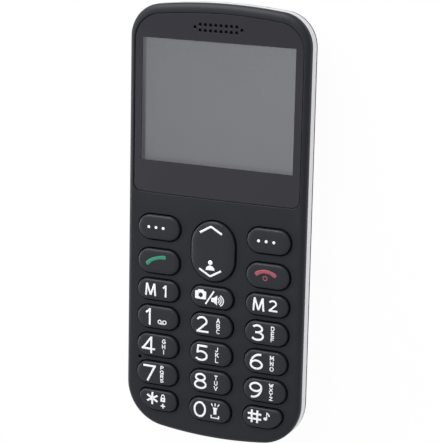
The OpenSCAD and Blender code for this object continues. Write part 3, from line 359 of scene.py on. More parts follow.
unlit = add_node(acrylic, "Math", {0: 1.0, 1: lit}, operation="SUBTRACT")
print_share = add_node(acrylic, "Math", {0: solid, 1: unlit}, operation="MULTIPLY")
dust = add_node(acrylic, "TexNoise", {"Vector": where, "Scale": 1 / (14 * MM), "Detail": 3.0})
veil = add_node(acrylic, "MapRange", {"Value": dust, "To Min": 0.75, "To Max": 1.0})
# Painted shade: the print's colour falls to its darkest above the picture's top and lightens to the mottled
# grey lower down.
reach = add_node(acrylic, "MapRange", {
    "Value": xyz["Y"], "From Min": PAINTED_SHADE_START * MM, "From Max": PAINTED_SHADE_END * MM, "To Max": veil})
painted_shade_tint = add_node(acrylic, "ValToRGB", {"Fac": reach}, ("#010111", "#15131f"))
haze = add_node(acrylic, "MapRange", {"Value": dust, "To Min": 0.2, "To Max": 0.3})
pane = add_node(acrylic, "BsdfPrincipled", {"Base Color": painted_shade_tint, "Roughness": haze, "IOR": 1.49})
through = add_node(acrylic, "BsdfTransparent")
mixed = add_node(acrylic, "MixShader", {0: print_share, 1: through, 2: pane})
add_node(acrylic, "OutputMaterial", {"Surface": mixed})
add_piece("window_pane", parts, acrylic, "phone", ["display_window"])


# Adhesive frame, earpiece mesh and receiver. Die-cut black foam tape, woven acoustic cloth and a small
# moulded capsule, pressed in one after another under the window.
def dress(material, *names):
    """Gives CAD nodes one material."""
    for name in names:
        nodes[name].data.materials.clear()
        nodes[name].data.materials.append(material)


def mottled(name, pattern, grain, colours, finish):
    """A material that one pattern mottles between two colours, under a finish."""
    material = new_material(name)
    where = add_node(material, "TexCoord").outputs["Object"]
    patches = add_node(material, pattern, {"Vector": where, **grain})
    shade = add_node(material, "ValToRGB", {"Fac": patches}, colours)
    surface = add_node(material, "BsdfPrincipled", {"Base Color": shade, **finish})
    add_node(material, "OutputMaterial", {"Surface": surface})
    return material


# Closed-cell foam tape: dull black with fine open cells of about 0.1 mm, drawn at 0.25 mm.
foam_tape = mottled("foam_tape_black", "TexVoronoi", {"Scale": 1 / (0.25 * MM)}, ("#0e0e10", "#1c1c1f"),
                    {"Roughness": 0.9, "IOR": 1.48})
dress(foam_tape, "window_adhesive")

# Woven acoustic cloth: black threads about 0.15 mm apart over and under each other, with painted light only
# on their crowns. There is as much air as yarn at its face, so it mirrors little.
WAVE = 0.314
cloth = new_material("polyester_cloth_woven_black")
where = add_node(cloth, "TexCoord").outputs["Object"]
threads = {"Vector": where, "Scale": WAVE / (0.15 * MM)}
warp = add_node(cloth, "TexWave", threads, bands_direction="X").outputs["Fac"]
weft = add_node(cloth, "TexWave", threads, bands_direction="Y").outputs["Fac"]
weave = add_node(cloth, "Math", {0: warp, 1: weft}, operation="MULTIPLY")
# Painted light: the weave's ramp lightens the thread crowns where they cross.
painted_crown_light = add_node(cloth, "ValToRGB", {"Fac": weave}, ("#020203", "#0d0d0e"))
woven = add_node(cloth, "BsdfPrincipled", {"Base Color": painted_crown_light, "Roughness": 0.95, "IOR": 1.2})
add_node(cloth, "OutputMaterial", {"Surface": woven})
dress(cloth, "earpiece_mesh", "loudspeaker_mesh")

# Moulded nylon capsule: black with a slight mottle from its glass fibres, about 0.6 mm long.
nylon_black = mottled("nylon_glass_filled_black", "TexNoise", {"Scale": 1 / (0.6 * MM), "Detail": 4.0},
                      ("#121214", "#1f1f22"), {"Roughness": 0.55, "IOR": 1.53})
dress(nylon_black, "receiver", "loudspeaker", "camera_module", "battery_connector")


# Display. A liquid-crystal panel under a polariser, unlit and so an even grey, with a strip of painted shade
# down its left side. It lies in a pressed steel tray that clips under the front housing, and its glass stands
# up in the housing's opening.
PANEL_X, PANEL_LOW, PANEL_HIGH, PANEL_R = 25.98, 13.14, 55.86, 0.6
GLASS_X, GLASS_LOW, GLASS_HIGH, GLASS_R = 25.03, 17.19, 55.01, 0.4
PANEL_Z, STEP_Z, GLASS_Z, BEVEL = 8.6, 10.7, 11.75, 0.1
SHADE_STRIP_X, SHADE_STRIP_FADE = -23.95, 0.4


def box_outline(x0, y0, x1, y1, radius):
    """A rectangle with round corners."""
    corners = [((x1 - radius, y0 + radius), -90), ((x1 - radius, y1 - radius), 0),
               ((x0 + radius, y1 - radius), 90), ((x0 + radius, y0 + radius), 180)]
    return np.vstack([arc(c, radius, a, a + 90, 10) for c, a in corners])


def panel_outline(inset):
    """The panel's outline drawn in by a margin."""
    return box_outline(inset - PANEL_X, PANEL_LOW + inset, PANEL_X - inset, PANEL_HIGH - inset,
                       PANEL_R - inset)


def glass_outline(inset):
    """The picture glass's outline drawn in by a margin."""
    return box_outline(inset - GLASS_X, GLASS_LOW + inset, GLASS_X - inset, GLASS_HIGH - inset,
                       GLASS_R - inset)


display_loops = [level(panel_outline(inset), z) for inset, z in (
    (BEVEL, PANEL_Z), (0.03, PANEL_Z + 0.03), (0.0, PANEL_Z + BEVEL),
    (0.0, STEP_Z - BEVEL), (0.03, STEP_Z - 0.03), (BEVEL, STEP_Z))]
display_loops += [level(glass_outline(inset), z) for inset, z in (
    (0.0, STEP_Z), (0.0, GLASS_Z - BEVEL), (0.03, GLASS_Z - 0.03), (BEVEL, GLASS_Z))]

# Polariser film on the display glass: a dull grey with slight drifts about 22 mm across. Painted light
# lightens it slowly towards the lower right, and painted shade darkens a strip beside the picture on its
# left, standing for the shadow of the print's edge.
polariser = new_material("display_polariser_grey")
where = add_node(polariser, "TexCoord").outputs["Object"]
xyz = add_node(polariser, "SeparateXYZ", {"Vector": where}).outputs
# Painted shade: a darker strip down the picture's left side, fading over 0.4 mm.
across = add_node(polariser, "MapRange", {
    "Value": xyz["X"], "From Min": SHADE_STRIP_X * MM, "From Max": (SHADE_STRIP_X + SHADE_STRIP_FADE) * MM})
# Painted light: the grey lightens slowly towards the lower right.
painted_light_slant = add_node(polariser, "VectorMath", {0: where, 1: (0.3, -0.95, 0.0)}, operation="DOT_PRODUCT")
slow = add_node(polariser, "TexNoise", {"Vector": where, "Scale": 1 / (22 * MM)})
drift = add_node(polariser, "Math", {0: slow, 1: 8 * MM, 2: painted_light_slant.outputs["Value"]}, operation="MULTIPLY_ADD")
share = add_node(polariser, "MapRange", {"Value": drift, "From Min": -53 * MM, "From Max": -8.4 * MM})
grey = add_node(polariser, "ValToRGB", {"Fac": share}, ("#616266", "#7a7b80"))
margin = add_node(polariser, "Mix", {
    "Factor": across.outputs["Result"], "A": linear("#57565c"), "B": grey.outputs["Color"]}, data_type="RGBA")
film = add_node(polariser, "BsdfPrincipled", {
    "Base Color": margin.outputs["Result"], "Roughness": 0.26, "IOR": 1.49})
add_node(polariser, "OutputMaterial", {"Surface": film})
parts = [skin(display_loops), flat([panel_outline(BEVEL)], PANEL_Z, up=False),
         flat([glass_outline(BEVEL)], GLASS_Z)]
add_piece("display_glass", parts, polariser, "phone", ["display_panel"])


def bright_metal(name, stretch, grain, colour, rough):
    """A metal of one colour, whose gloss varies with a grain that is stretched along the axes."""
    metal = new_material(name)
    where = add_node(metal, "TexCoord").outputs["Object"]
    drawn_out = add_node(metal, "Mapping", {"Vector": where, "Scale": stretch})
    marks = add_node(metal, "TexNoise", {"Vector": drawn_out, **grain})
    gloss = add_node(metal, "MapRange", {"Value": marks, "To Min": rough[0], "To Max": rough[1]})
    surface = add_node(metal, "BsdfPrincipled", {
        "Base Color": linear(colour), "Metallic": 1.0, "Roughness": gloss})
    add_node(metal, "OutputMaterial", {"Surface": surface})
    return metal


# Pressed and tin-plated sheet steel: bright, with faint rolling lines 0.3 mm apart along the sheet.
tinned_steel = bright_metal("sheet_steel_tin_plated", (1.0, 0.05, 1.0), {"Scale": 1 / (0.3 * MM)},
                            "#c3c4c6", (0.24, 0.42))
dress(tinned_steel, "display_tray", "shield_can", "sim_holder", "memory_card_socket", "vibration_motor",
      "usb_socket", "microphone")


# Keypad membrane, dome film and domes. A silicone sheet with a post under each key, a polyester film below
# it, and stamped steel domes that snap through when a post is pressed down on them.

# Moulded silicone: milky and dull, with a faint flow mottle about 3 mm across.
silicone = new_material("silicone_moulded_milky")
where = add_node(silicone, "TexCoord").outputs["Object"]
flow = add_node(silicone, "TexNoise", {"Vector": where, "Scale": 1 / (3 * MM), "Detail": 3.0})
milk = add_node(silicone, "ValToRGB", {"Fac": flow}, ("#cfd2d3", "#e0e2e2"))
dull = add_node(silicone, "MapRange", {"Value": flow, "To Min": 0.52, "To Max": 0.68})
sheet = add_node(silicone, "BsdfPrincipled", {"Base Color": milk, "Roughness": dull, "IOR": 1.41})
add_node(silicone, "OutputMaterial", {"Surface": sheet})
dress(silicone, "keypad_membrane")

# Polyester film: clear but for a slight haze in patches about 4 mm across.
film_clear = new_material("polyester_film_clear")
where = add_node(film_clear, "TexCoord").outputs["Object"]
patches = add_node(film_clear, "TexNoise", {"Vector": where, "Scale": 1 / (4 * MM), "Detail": 3.0})
fog = add_node(film_clear, "MapRange", {"Value": patches, "To Min": 0.1, "To Max": 0.25})
film_share = add_node(film_clear, "MapRange", {"Value": patches, "To Min": 0.25, "To Max": 0.45})
film = add_node(film_clear, "BsdfPrincipled", {
    "Base Color": linear("#dfe4e6"), "Roughness": fog, "IOR": 1.57})
through = add_node(film_clear, "BsdfTransparent")
mixed = add_node(film_clear, "MixShader", {0: film_share, 1: through, 2: film})
add_node(film_clear, "OutputMaterial", {"Surface": mixed})
dress(film_clear, "dome_film")

# Stamped spring steel: bright, with a fine cross grain 0.2 mm apart left by rolling.
spring_steel = bright_metal("spring_steel_stamped", (0.05, 1.0, 1.0), {"Scale": 1 / (0.2 * MM)},
                            "#cfd0d2", (0.16, 0.3))
dress(spring_steel, "metal_domes")


# Main board, contacts, antenna and microphone boot. A glass-fibre laminate under a green mask carries
# everything else; it lies on the rear housing's ribs, and the four housing screws hold it there.

# Masked laminate: deep green, lighter over the copper tracks about 0.9 mm apart, with the cloth showing as
# a 0.5 mm weave.
laminate = new_material("glass_laminate_green_mask")
where = add_node(laminate, "TexCoord").outputs["Object"]
tracks = add_node(laminate, "TexWave", {
    "Vector": where, "Scale": WAVE / (0.9 * MM), "Distortion": 5.0, "Detail": 1.0, "Detail Scale": 0.4},
    bands_direction="DIAGONAL").outputs["Fac"]
track_shade = add_node(laminate, "ValToRGB", {"Fac": tracks}, ("#123d27", "#1b5a38"))
track_shade.color_ramp.elements[0].position, track_shade.color_ramp.elements[1].position = 0.45, 0.62
threads = {"Vector": where, "Scale": WAVE / (0.5 * MM)}
warp = add_node(laminate, "TexWave", threads, bands_direction="X").outputs["Fac"]
weft = add_node(laminate, "TexWave", threads, bands_direction="Y").outputs["Fac"]
weave = add_node(laminate, "Math", {0: warp, 1: weft}, operation="MULTIPLY")
gloss = add_node(laminate, "MapRange", {"Value": weave, "To Min": 0.28, "To Max": 0.42})
mask = add_node(laminate, "BsdfPrincipled", {"Base Color": track_shade, "Roughness": gloss, "IOR": 1.55})
add_node(laminate, "OutputMaterial", {"Surface": mask})
dress(laminate, "main_board")

# Gold flash over copper: warm and bright, with tiny rub marks 0.3 mm long where the battery slides in.
gold_flash = bright_metal("copper_gold_flashed", (1.0, 1.0, 1.0), {"Scale": 1 / (0.3 * MM), "Detail": 3.0},
                          "#e0bd6c", (0.18, 0.36))
dress(gold_flash, "battery_contacts")

# Copper strip: rolled, with brown tarnish in patches about 2 mm across.
copper_strip = mottled("copper_strip_rolled", "TexNoise", {"Scale": 1 / (2 * MM), "Detail": 4.0},
                       ("#9c6240", "#cf9066"), {"Metallic": 1.0, "Roughness": 0.34})
dress(copper_strip, "antenna")

# Black silicone rubber: dull, with a fine powdery bloom about 0.4 mm across.
rubber_black = mottled("silicone_rubber_black", "TexNoise", {"Scale": 1 / (0.4 * MM), "Detail": 3.0},
                       ("#0c0c0e", "#19191b"), {"Roughness": 0.75, "IOR": 1.43})
dress(rubber_black, "microphone_boot")


# Camera and torch. A lens barrel and a lamp on the board look out of the back, through a glass disc stuck
# into the rear housing and through a clear moulded light pipe.
CAMERA, TORCH = (-8.0, 51.25), (-18.0, 51.25)
LENS_R, LENS_Z, LENS_SAG = 1.45, 0.86, 0.3
lens_far = np.linspace(0, LENS_R, 9)
lens_profile = np.vstack([
    np.column_stack([lens_far, LENS_Z + LENS_SAG * (lens_far / LENS_R) ** 2]),
    [(1.5, 1.2), (2.25, 0.92), (2.5, 0.92), (2.58, 1.0), (2.58, 1.3), (0, 1.3)]])
lens_loops = [level(ring(CAMERA, r, 48), z) for r, z in lens_profile]


def seen_from(middle, where):
    """Settings that measure a place from an axis along Z through a middle point."""
    return {"Vector": where, "Location": (-middle[0] * MM, -middle[1] * MM, 0.0), "Scale": (1.0, 1.0, 0.0)}


# Lens and barrel: coated glass, almost black with a violet cast, set in a dull black ring 1.5 mm from its
# middle.
lens_glass = new_material("glass_lens_coated_in_black_ring")
where = add_node(lens_glass, "TexCoord").outputs["Object"]
from_lens = add_node(lens_glass, "Mapping", seen_from(CAMERA, where))
lens_r = add_node(lens_glass, "VectorMath", {0: from_lens}, operation="LENGTH").outputs["Value"]
zone = add_node(lens_glass, "MapRange", {"Value": lens_r, "From Max": 3 * MM})
ring_shade = add_node(lens_glass, "ValToRGB", {"Fac": zone}, ("#241a38", "#18181a"))
ring_shade.color_ramp.elements.new(0.47).color = linear("#0a0a10")
ring_rough = add_node(lens_glass, "MapRange", {
    "Value": lens_r, "From Min": 1.44 * MM, "From Max": 1.5 * MM, "To Min": 0.06, "To Max": 0.5})
coated = add_node(lens_glass, "BsdfPrincipled", {
    "Base Color": ring_shade, "Roughness": ring_rough, "IOR": 1.6})
add_node(lens_glass, "OutputMaterial", {"Surface": coated})
add_piece("camera_lens", [skin(lens_loops)], lens_glass, "phone")

# Window glass: clear in the middle, printed black from behind outside 2.4 mm, with faint smears about 2 mm
# across.
disc_glass = new_material("glass_disc_printed_black")
where = add_node(disc_glass, "TexCoord").outputs["Object"]
from_disc = add_node(disc_glass, "Mapping", seen_from(CAMERA, where))
disc_r = add_node(disc_glass, "VectorMath", {0: from_disc}, operation="LENGTH").outputs["Value"]
ink_share = add_node(disc_glass, "MapRange", {
    "Value": disc_r, "From Min": 2.36 * MM, "From Max": 2.44 * MM, "To Min": 0.12, "To Max": 1.0})
smear = add_node(disc_glass, "TexNoise", {"Vector": where, "Scale": 1 / (2 * MM), "Detail": 3.0})
smeared = add_node(disc_glass, "MapRange", {"Value": smear, "To Min": 0.04, "To Max": 0.14})
disc = add_node(disc_glass, "BsdfPrincipled", {
    "Base Color": linear("#0b0b0d"), "Roughness": smeared, "IOR": 1.52})
through = add_node(disc_glass, "BsdfTransparent")
mixed = add_node(disc_glass, "MixShader", {0: ink_share, 1: through, 2: disc})
add_node(disc_glass, "OutputMaterial", {"Surface": mixed})
dress(disc_glass, "camera_window")

# Moulded polycarbonate: half clear and faintly blue, with turned rings 0.5 mm apart that spread the lamp's
# light.
pipe_clear = new_material("polycarbonate_moulded_clear")
where = add_node(pipe_clear, "TexCoord").outputs["Object"]
from_torch = add_node(pipe_clear, "Mapping", seen_from(TORCH, where))
rings = add_node(pipe_clear, "TexWave", {"Vector": from_torch, "Scale": WAVE / (0.5 * MM)},
                 wave_type="RINGS", rings_direction="Z").outputs["Fac"]
ridges = add_node(pipe_clear, "Bump", {"Strength": 0.6, "Distance": 0.06 * MM, "Height": rings})
ring_gloss = add_node(pipe_clear, "MapRange", {"Value": rings, "To Min": 0.1, "To Max": 0.22})
pipe = add_node(pipe_clear, "BsdfPrincipled", {
    "Base Color": linear("#d5dde2"), "Roughness": ring_gloss, "IOR": 1.58, "Normal": ridges})
through = add_node(pipe_clear, "BsdfTransparent")
mixed = add_node(pipe_clear, "MixShader", {0: 0.55, 1: through, 2: pipe})
add_node(pipe_clear, "OutputMaterial", {"Surface": mixed})
dress(pipe_clear, "torch_light_pipe")

# Cast lamp resin: yellow with phosphor grains of about 0.1 mm, drawn at 0.25 mm.
lamp_resin = mottled("lamp_resin_phosphor_yellow", "TexVoronoi", {"Scale": 1 / (0.25 * MM)},
                     ("#d9bd55", "#efdc8c"), {"Roughness": 0.3, "IOR": 1.53})
dress(lamp_resin, "torch_lamp")


# Trim band. A thin ABS frame sprayed with silver lacquer, held between the two housings as they are screwed
# together. Its outer edges are broken, so a fine line shows on either side of it.
BAND_LOW, BAND_HIGH, BAND_DEPTH = 7.65, 10.5, 1.3
band_loops = [level(body_outline(inset), z) for inset, z in (
    (BAND_DEPTH, BAND_LOW), (0.2, BAND_LOW), (0.06, BAND_LOW + 0.06), (0.0, BAND_LOW + 0.2),
    (0.0, BAND_HIGH - 0.2), (0.06, BAND_HIGH - 0.06), (0.2, BAND_HIGH), (BAND_DEPTH, BAND_HIGH))]

# Silver lacquer over plastic: aluminium flakes of about 0.05 mm, drawn at 0.12 mm, give a soft metal grain.
lacquer = new_material("abs_sprayed_silver_lacquer")
where = add_node(lacquer, "TexCoord").outputs["Object"]
flakes = add_node(lacquer, "TexVoronoi", {"Vector": where, "Scale": 1 / (0.12 * MM)}).outputs["Color"]
flake_shade = add_node(lacquer, "ValToRGB", {"Fac": flakes}, ("#d3d2d7", "#dedde2"))
sprayed = add_node(lacquer, "BsdfPrincipled", {
    "Base Color": flake_shade, "Metallic": 0.85, "Roughness": 0.38, "IOR": 1.5})
add_node(lacquer, "OutputMaterial", {"Surface": sprayed})
add_piece("silver_band", [skin(band_loops, closed=True)], lacquer, "phone", ["trim_band"])


# Rear housing and battery cover. Two ABS mouldings that draw in towards the back; the cover slides off
# downwards, held by lips in two rails on either side, and has five finger grips.
LOOSE, EVEN = 2e-6, math.radians(0.5)


def merged_copy(name, node, material, body):
    """A CAD solid's own surface with its loose triangles joined and its shading led by the largest faces."""
    mesh = nodes[node].data.copy()
    mesh.name = name
    merged = bmesh.new()
    merged.from_mesh(mesh)
    bmesh.ops.remove_doubles(merged, verts=merged.verts, dist=LOOSE)
    bmesh.ops.dissolve_limit(merged, angle_limit=EVEN, verts=merged.verts, edges=merged.edges)
    merged.to_mesh(mesh)
    merged.free()
    mesh.polygons.foreach_set("use_smooth", [True] * len(mesh.polygons))
    mesh.set_sharp_from_angle(angle=SHARP)
    piece = bpy.data.objects.new(name, mesh)
    bpy.context.scene.collection.objects.link(piece)
    mesh.materials.clear()
    mesh.materials.append(material)
    even = piece.modifiers.new("even_shading", "WEIGHTED_NORMAL")
    even.keep_sharp, even.weight = True, 100
    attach(piece, body)
    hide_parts(node)


merged_copy("rear_moulding", "rear_housing", abs_satin, "phone")
merged_copy("cover_moulding", "battery_cover", abs_satin, "battery_cover")


# Battery and housing screws. A flat cell in a shrunk polyester sleeve lies in a bay of the rear housing, and
# four blackened screws are driven from under the battery cover into the front housing's bosses.

# Shrunk polyester sleeve: dark grey and satin, with faint creases 1.5 mm apart across its length.
sleeve = new_material("polyester_sleeve_shrunk_grey")
where = add_node(sleeve, "TexCoord").outputs["Object"]
lengthwise = add_node(sleeve, "Mapping", {"Vector": where, "Scale": (0.15, 1.0, 0.3)})
creases = add_node(sleeve, "TexNoise", {"Vector": lengthwise, "Scale": 1 / (1.5 * MM), "Detail": 3.0})
sleeve_shade = add_node(sleeve, "ValToRGB", {"Fac": creases}, ("#3a3c41", "#46484e"))
wrinkle = add_node(sleeve, "Bump", {"Strength": 0.3, "Distance": 0.03 * MM, "Height": creases})
shrunk = add_node(sleeve, "BsdfPrincipled", {
    "Base Color": sleeve_shade, "Roughness": 0.38, "IOR": 1.57, "Normal": wrinkle})
add_node(sleeve, "OutputMaterial", {"Surface": shrunk})
dress(sleeve, "battery")

# Blackened zinc on steel: dark grey, a little brighter in specks of 0.2 mm where the driver has rubbed.
screw_black = mottled("steel_screw_blackened", "TexNoise", {"Scale": 1 / (0.2 * MM), "Detail": 3.0},
                      ("#4a4b4e", "#77787c"), {"Metallic": 1.0, "Roughness": 0.4})
dress(screw_black, "housing_screws")


# Keys. Crowned ABS caps, each in its own opening, with ears under the face that keep it in and let it sink
# 0.4 mm. A thin skirt round the foot of each closes the gap from below.
EAR_Z, SHOULDER_Z, CROWN_H, CROWN_POWER, KEY_GAP = 10.9, 12.85, 1.27, 5.0, 0.36
SKIRT_REACH, SKIRT_H, EAR_LOW, EAR_HIGH, EAR_REACH, EAR_LESS = 0.15, 0.2, 0.05, 0.45, 1.6, 1.0
ROCKER_EAR_H, CORNER_EAR_X, CORNER_EAR_W = 6.0, 13.85, 8.0


def key_spine(key):
    """The two ends of the line that a key's crown falls away from."""
    column, row = KEYS[key]
    if row == "rocker":
        reach = (ROCKER_H - ROCKER_W) / 2
        return np.array([[0, ROCKER_Y - reach], [0, ROCKER_Y + reach]])
    if row == "last" and column:
        return np.array([[column * INNER_X, CORNER_Y], [column * TIP[0], CORNER_Y]])
    reach = (OPENING_W - ROW_H[row]) / 2
    return np.array([[column * COLUMN - reach, ROW_Y[row]], [column * COLUMN + reach, ROW_Y[row]]])


def along_spine(points, spine):
    """For each point: how far along the spine its foot lies, from 0 to 1, the foot, and the side it is on."""
    run = spine[1] - spine[0]
    share = np.clip(((points - spine[0]) @ run) / (run @ run), 0, 1)
    feet = spine[0] + share[..., None] * run
    away = points - feet
    return share, feet, run[0] * away[..., 1] - run[1] * away[..., 0] >= 0


def crown_height(points, key):
    """Height of a key's crown: shoulder plus crown times the fifth root of one less the fifth power of s,
    where s is a point's distance from the spine as a share of the outline's distance there."""
    spine, outline = key_spine(key), opening(key, -KEY_GAP)
    edge_share, edge_feet, edge_side = along_spine(outline, spine)
    edge_far = np.linalg.norm(outline - edge_feet, axis=-1)
    share, feet, side = along_spine(points, spine)
    order = np.argsort(edge_share, kind="stable")
    order = order[np.abs((outline - edge_feet) @ (spine[1] - spine[0]))[order] < 1e-6]
    upper, lower = order[edge_side[order]], order[~edge_side[order]]
    reach = np.where(side, np.interp(share, edge_share[upper], edge_far[upper]),
                     np.interp(share, edge_share[lower], edge_far[lower]))
    s = np.clip(np.linalg.norm(points - feet, axis=-1) / reach, 0, 1)
    return SHOULDER_Z + CROWN_H * (1 - s ** CROWN_POWER) ** (1 / CROWN_POWER)


def key_ears(key):
    """The outline of a cap's ears, which stand out at its two ends."""
    column, row = KEYS[key]
    if row == "rocker":
        return long_round(0, ROCKER_Y, ROCKER_W + EAR_REACH, ROCKER_EAR_H)
    if row == "last" and column:
        return long_round(column * CORNER_EAR_X, CORNER_Y, CORNER_EAR_W, CORNER_H - EAR_LESS)
    return long_round(column * COLUMN, ROW_Y[row], OPENING_W + EAR_REACH, ROW_H[row] - EAR_LESS)


def key_parts(key):
    """A cap: skirt, straight wall, crown of loops that shrink on to the spine, flat crest and underside, and
    ears. A loop's share of the outline and its height are powers of a cosine and a sine, at angles that lie
    closest at the two ends."""
    outline, skirt, ears = opening(key, -KEY_GAP), opening(key, SKIRT_REACH), key_ears(key)
    feet = along_spine(outline, key_spine(key))[1]
    turn = (math.pi / 4 * (1 - np.cos(np.linspace(0, math.pi, 25))))[1:-1]
    crown = [level(feet + abs(math.cos(a)) ** (2 / CROWN_POWER) * (outline - feet),
                   SHOULDER_Z + CROWN_H * math.sin(a) ** (2 / CROWN_POWER)) for a in turn]
    wall = [level(skirt, EAR_Z), level(skirt, EAR_Z + SKIRT_H), level(outline, EAR_Z + SKIRT_H),
            level(outline, SHOULDER_Z)]
    ear_low, ear_high = EAR_Z + EAR_LOW, EAR_Z + EAR_HIGH
    return [skin(wall + crown), flat([skirt], EAR_Z, up=False), flat([crown[-1][:, :2]], crown[-1][0, 2]),
            skin([level(ears, ear_low), level(ears, ear_high)]), flat([ears], ear_high),
            flat([ears], ear_low, up=False)]


# Moulded ABS for the caps: the same charcoal a touch lighter, with a finer satin that catches light on the
# crowns.
abs_cap = moulded_satin("abs_moulded_satin_keycap", 0.15, 5, ("#17191f", "#1b1d23"),
                        (0.44, 0.54), (0.2, 0.008), 0.25)
for key in KEYS:
    add_piece("cap_" + key[4:], key_parts(key), abs_cap, key, [key])


# Signs on the keys. Opaque two-part ink from a silicone pad, a few hundredths of a millimetre thick, that
# follows the crown of each cap: white on all of them but the call key's green and the end key's red.
INK, LAYER, LAYERS, STEP = 0.03, 0.004, 5, 0.12
BOLD, LETTER, FINE = 0.62, 0.27, 0.34
DIGIT_H, LETTER_W, LETTER_H, LETTER_GAP, LETTER_END = 5.2, 1.05, 1.2, 0.4, 0.1


def stroke(path, width, end=0.0):
    """A ribbon along a path: points at even steps, moved to either side along the path's normal.
    The path's ends are drawn out by an amount."""
    path = np.array(path, float)
    if end:
        first, last = path[0] - path[1], path[-1] - path[-2]
        path[0] += end * first / np.linalg.norm(first)
        path[-1] += end * last / np.linalg.norm(last)
    run = np.concatenate([[0], np.cumsum(np.linalg.norm(np.diff(path, axis=0), axis=1))])
    step = np.linspace(0, run[-1], max(3, int(run[-1] / STEP) + 2))
    middle = np.column_stack([np.interp(step, run, path[:, k]) for k in (0, 1)])
    ahead = np.gradient(middle, axis=0)
    normal = np.column_stack([-ahead[:, 1], ahead[:, 0]]) / np.linalg.norm(ahead, axis=1)[:, None]
    wide = width(step / run[-1]) if callable(width) else np.full(len(step), width)
    return middle[:, None] + np.linspace(-0.5, 0.5, 6)[None, :, None] * (wide[:, None] * normal)[:, None]


def bend(x, y, rx, ry, start, end, count=40):
    """Part of an ellipse, angles in degrees."""
    turn = np.radians(np.linspace(start, end, count))
    return np.column_stack([x + rx * np.cos(turn), y + ry * np.sin(turn)])


def blot(outer, inner):
    """A filled shape: loops drawn from an inner loop or point out to an outer one."""
    outer = np.vstack([outer, outer[:1]])
    inner = np.vstack([inner, inner[:1]]) if np.ndim(inner) == 2 else np.broadcast_to(inner, outer.shape)
    return inner[None] + np.linspace(0, 1, 7)[:, None, None] * (outer - inner)[None]


def printed(name, key, sheets, material):
    """Lays flat sheets of ink on a key's crown, each a little lower than the one it crosses, with the film's
    thickness."""
    parts = []
    for layer, sheet in enumerate(sheets):
        rows, columns = sheet.shape[:2]
        number = np.arange(rows * columns).reshape(rows, columns)
        quads = np.stack([number[:-1, :-1], number[1:, :-1], number[1:, 1:], number[:-1, 1:]], -1)
        quads = quads.reshape(-1, 4)
        points = sheet.reshape(-1, 2)
        p, q, r = (points[quads[:, k]] for k in (0, 1, 2))
        turn = ((q - p)[:, 0] * (r - p)[:, 1] - (q - p)[:, 1] * (r - p)[:, 0]).sum()
        quads = quads if turn > 0 else quads[:, ::-1]
        height = crown_height(points, key) + INK - LAYER * (layer % LAYERS)
        parts.append((np.column_stack([points, height]), quads.tolist(), True))
    piece = add_piece(name, parts, material, key)
    film = piece.modifiers.new("film", "SOLIDIFY")
    film.thickness, film.offset = 0.8 * INK * MM, -1.0


# Pad-printed ink: even and dull, with a slight mottle about 0.8 mm across where the film is thinner.
INK_GRAIN, INK_FINISH = {"Scale": 1 / (0.8 * MM)}, {"Roughness": 0.6, "IOR": 1.5}
white_ink = mottled("ink_pad_printed_white", "TexNoise", INK_GRAIN, ("#eaeaed", "#f3f3f6"), INK_FINISH)
green_ink = mottled("ink_pad_printed_green", "TexNoise", INK_GRAIN, ("#1f7459", "#2a8266"), INK_FINISH)
red_ink = mottled("ink_pad_printed_red", "TexNoise", INK_GRAIN, ("#903f4c", "#9e4b56"), INK_FINISH)

# Digits, drawn 5.2 mm high from their lower left corner.
DIGITS = {
    "0": [bend(2.15, 2.6, 1.75, 2.2, 0, 360)],
    "1": [[(1.45, 0), (1.45, 5.2)], [(0.12, 3.85), (1.35, 4.75)]],
    "2": [np.vstack([bend(2.0, 3.6, 1.55, 1.2, 160, -35), [(0.62, 0.5)]]), [(0.2, 0.4), (4.25, 0.4)]],
    "3": [bend(1.75, 3.75, 1.5, 1.05, 150, -90), bend(1.75, 1.55, 1.85, 1.15, 90, -152),
          [(1.1, 2.7), (1.8, 2.7)]],
    "4": [[(3.3, 0), (3.3, 5.2)], [(3.15, 4.85), (0.55, 1.45)], [(0.1, 1.4), (4.6, 1.4)]],
    "5": [[(0.7, 4.8), (3.95, 4.8)], [(0.95, 5.0), (0.75, 2.55)], bend(1.95, 1.75, 1.9, 1.35, 128, -150)],
    "6": [bend(2.2, 1.65, 1.8, 1.25, 0, 360), bend(3.3, 1.75, 2.9, 3.05, 180, 82)],
    "7": [[(0.1, 4.8), (4.35, 4.8)], [(4.05, 4.9), (1.55, 0)]],
    "8": [bend(2.2, 3.8, 1.5, 1.0, 0, 360), bend(2.2, 1.55, 1.8, 1.15, 0, 360)],
    "9": [bend(2.2, 3.55, 1.8, 1.25, 0, 360), bend(1.1, 3.45, 2.9, 3.05, 0, -98)],
    "M": [[(0.5, 0), (0.9, 5.2)], [(4.7, 0), (4.3, 5.2)], [(0.95, 5.1), (2.6, 0.35)],
          [(4.25, 5.1), (2.6, 0.35)]],
}


def digit(sign, x, y, height=DIGIT_H, width=BOLD):
    """A large sign's ribbons, at a place and a height."""
    return [stroke(np.array(path) * height / DIGIT_H + (x, y), width) for path in DIGITS[sign]]


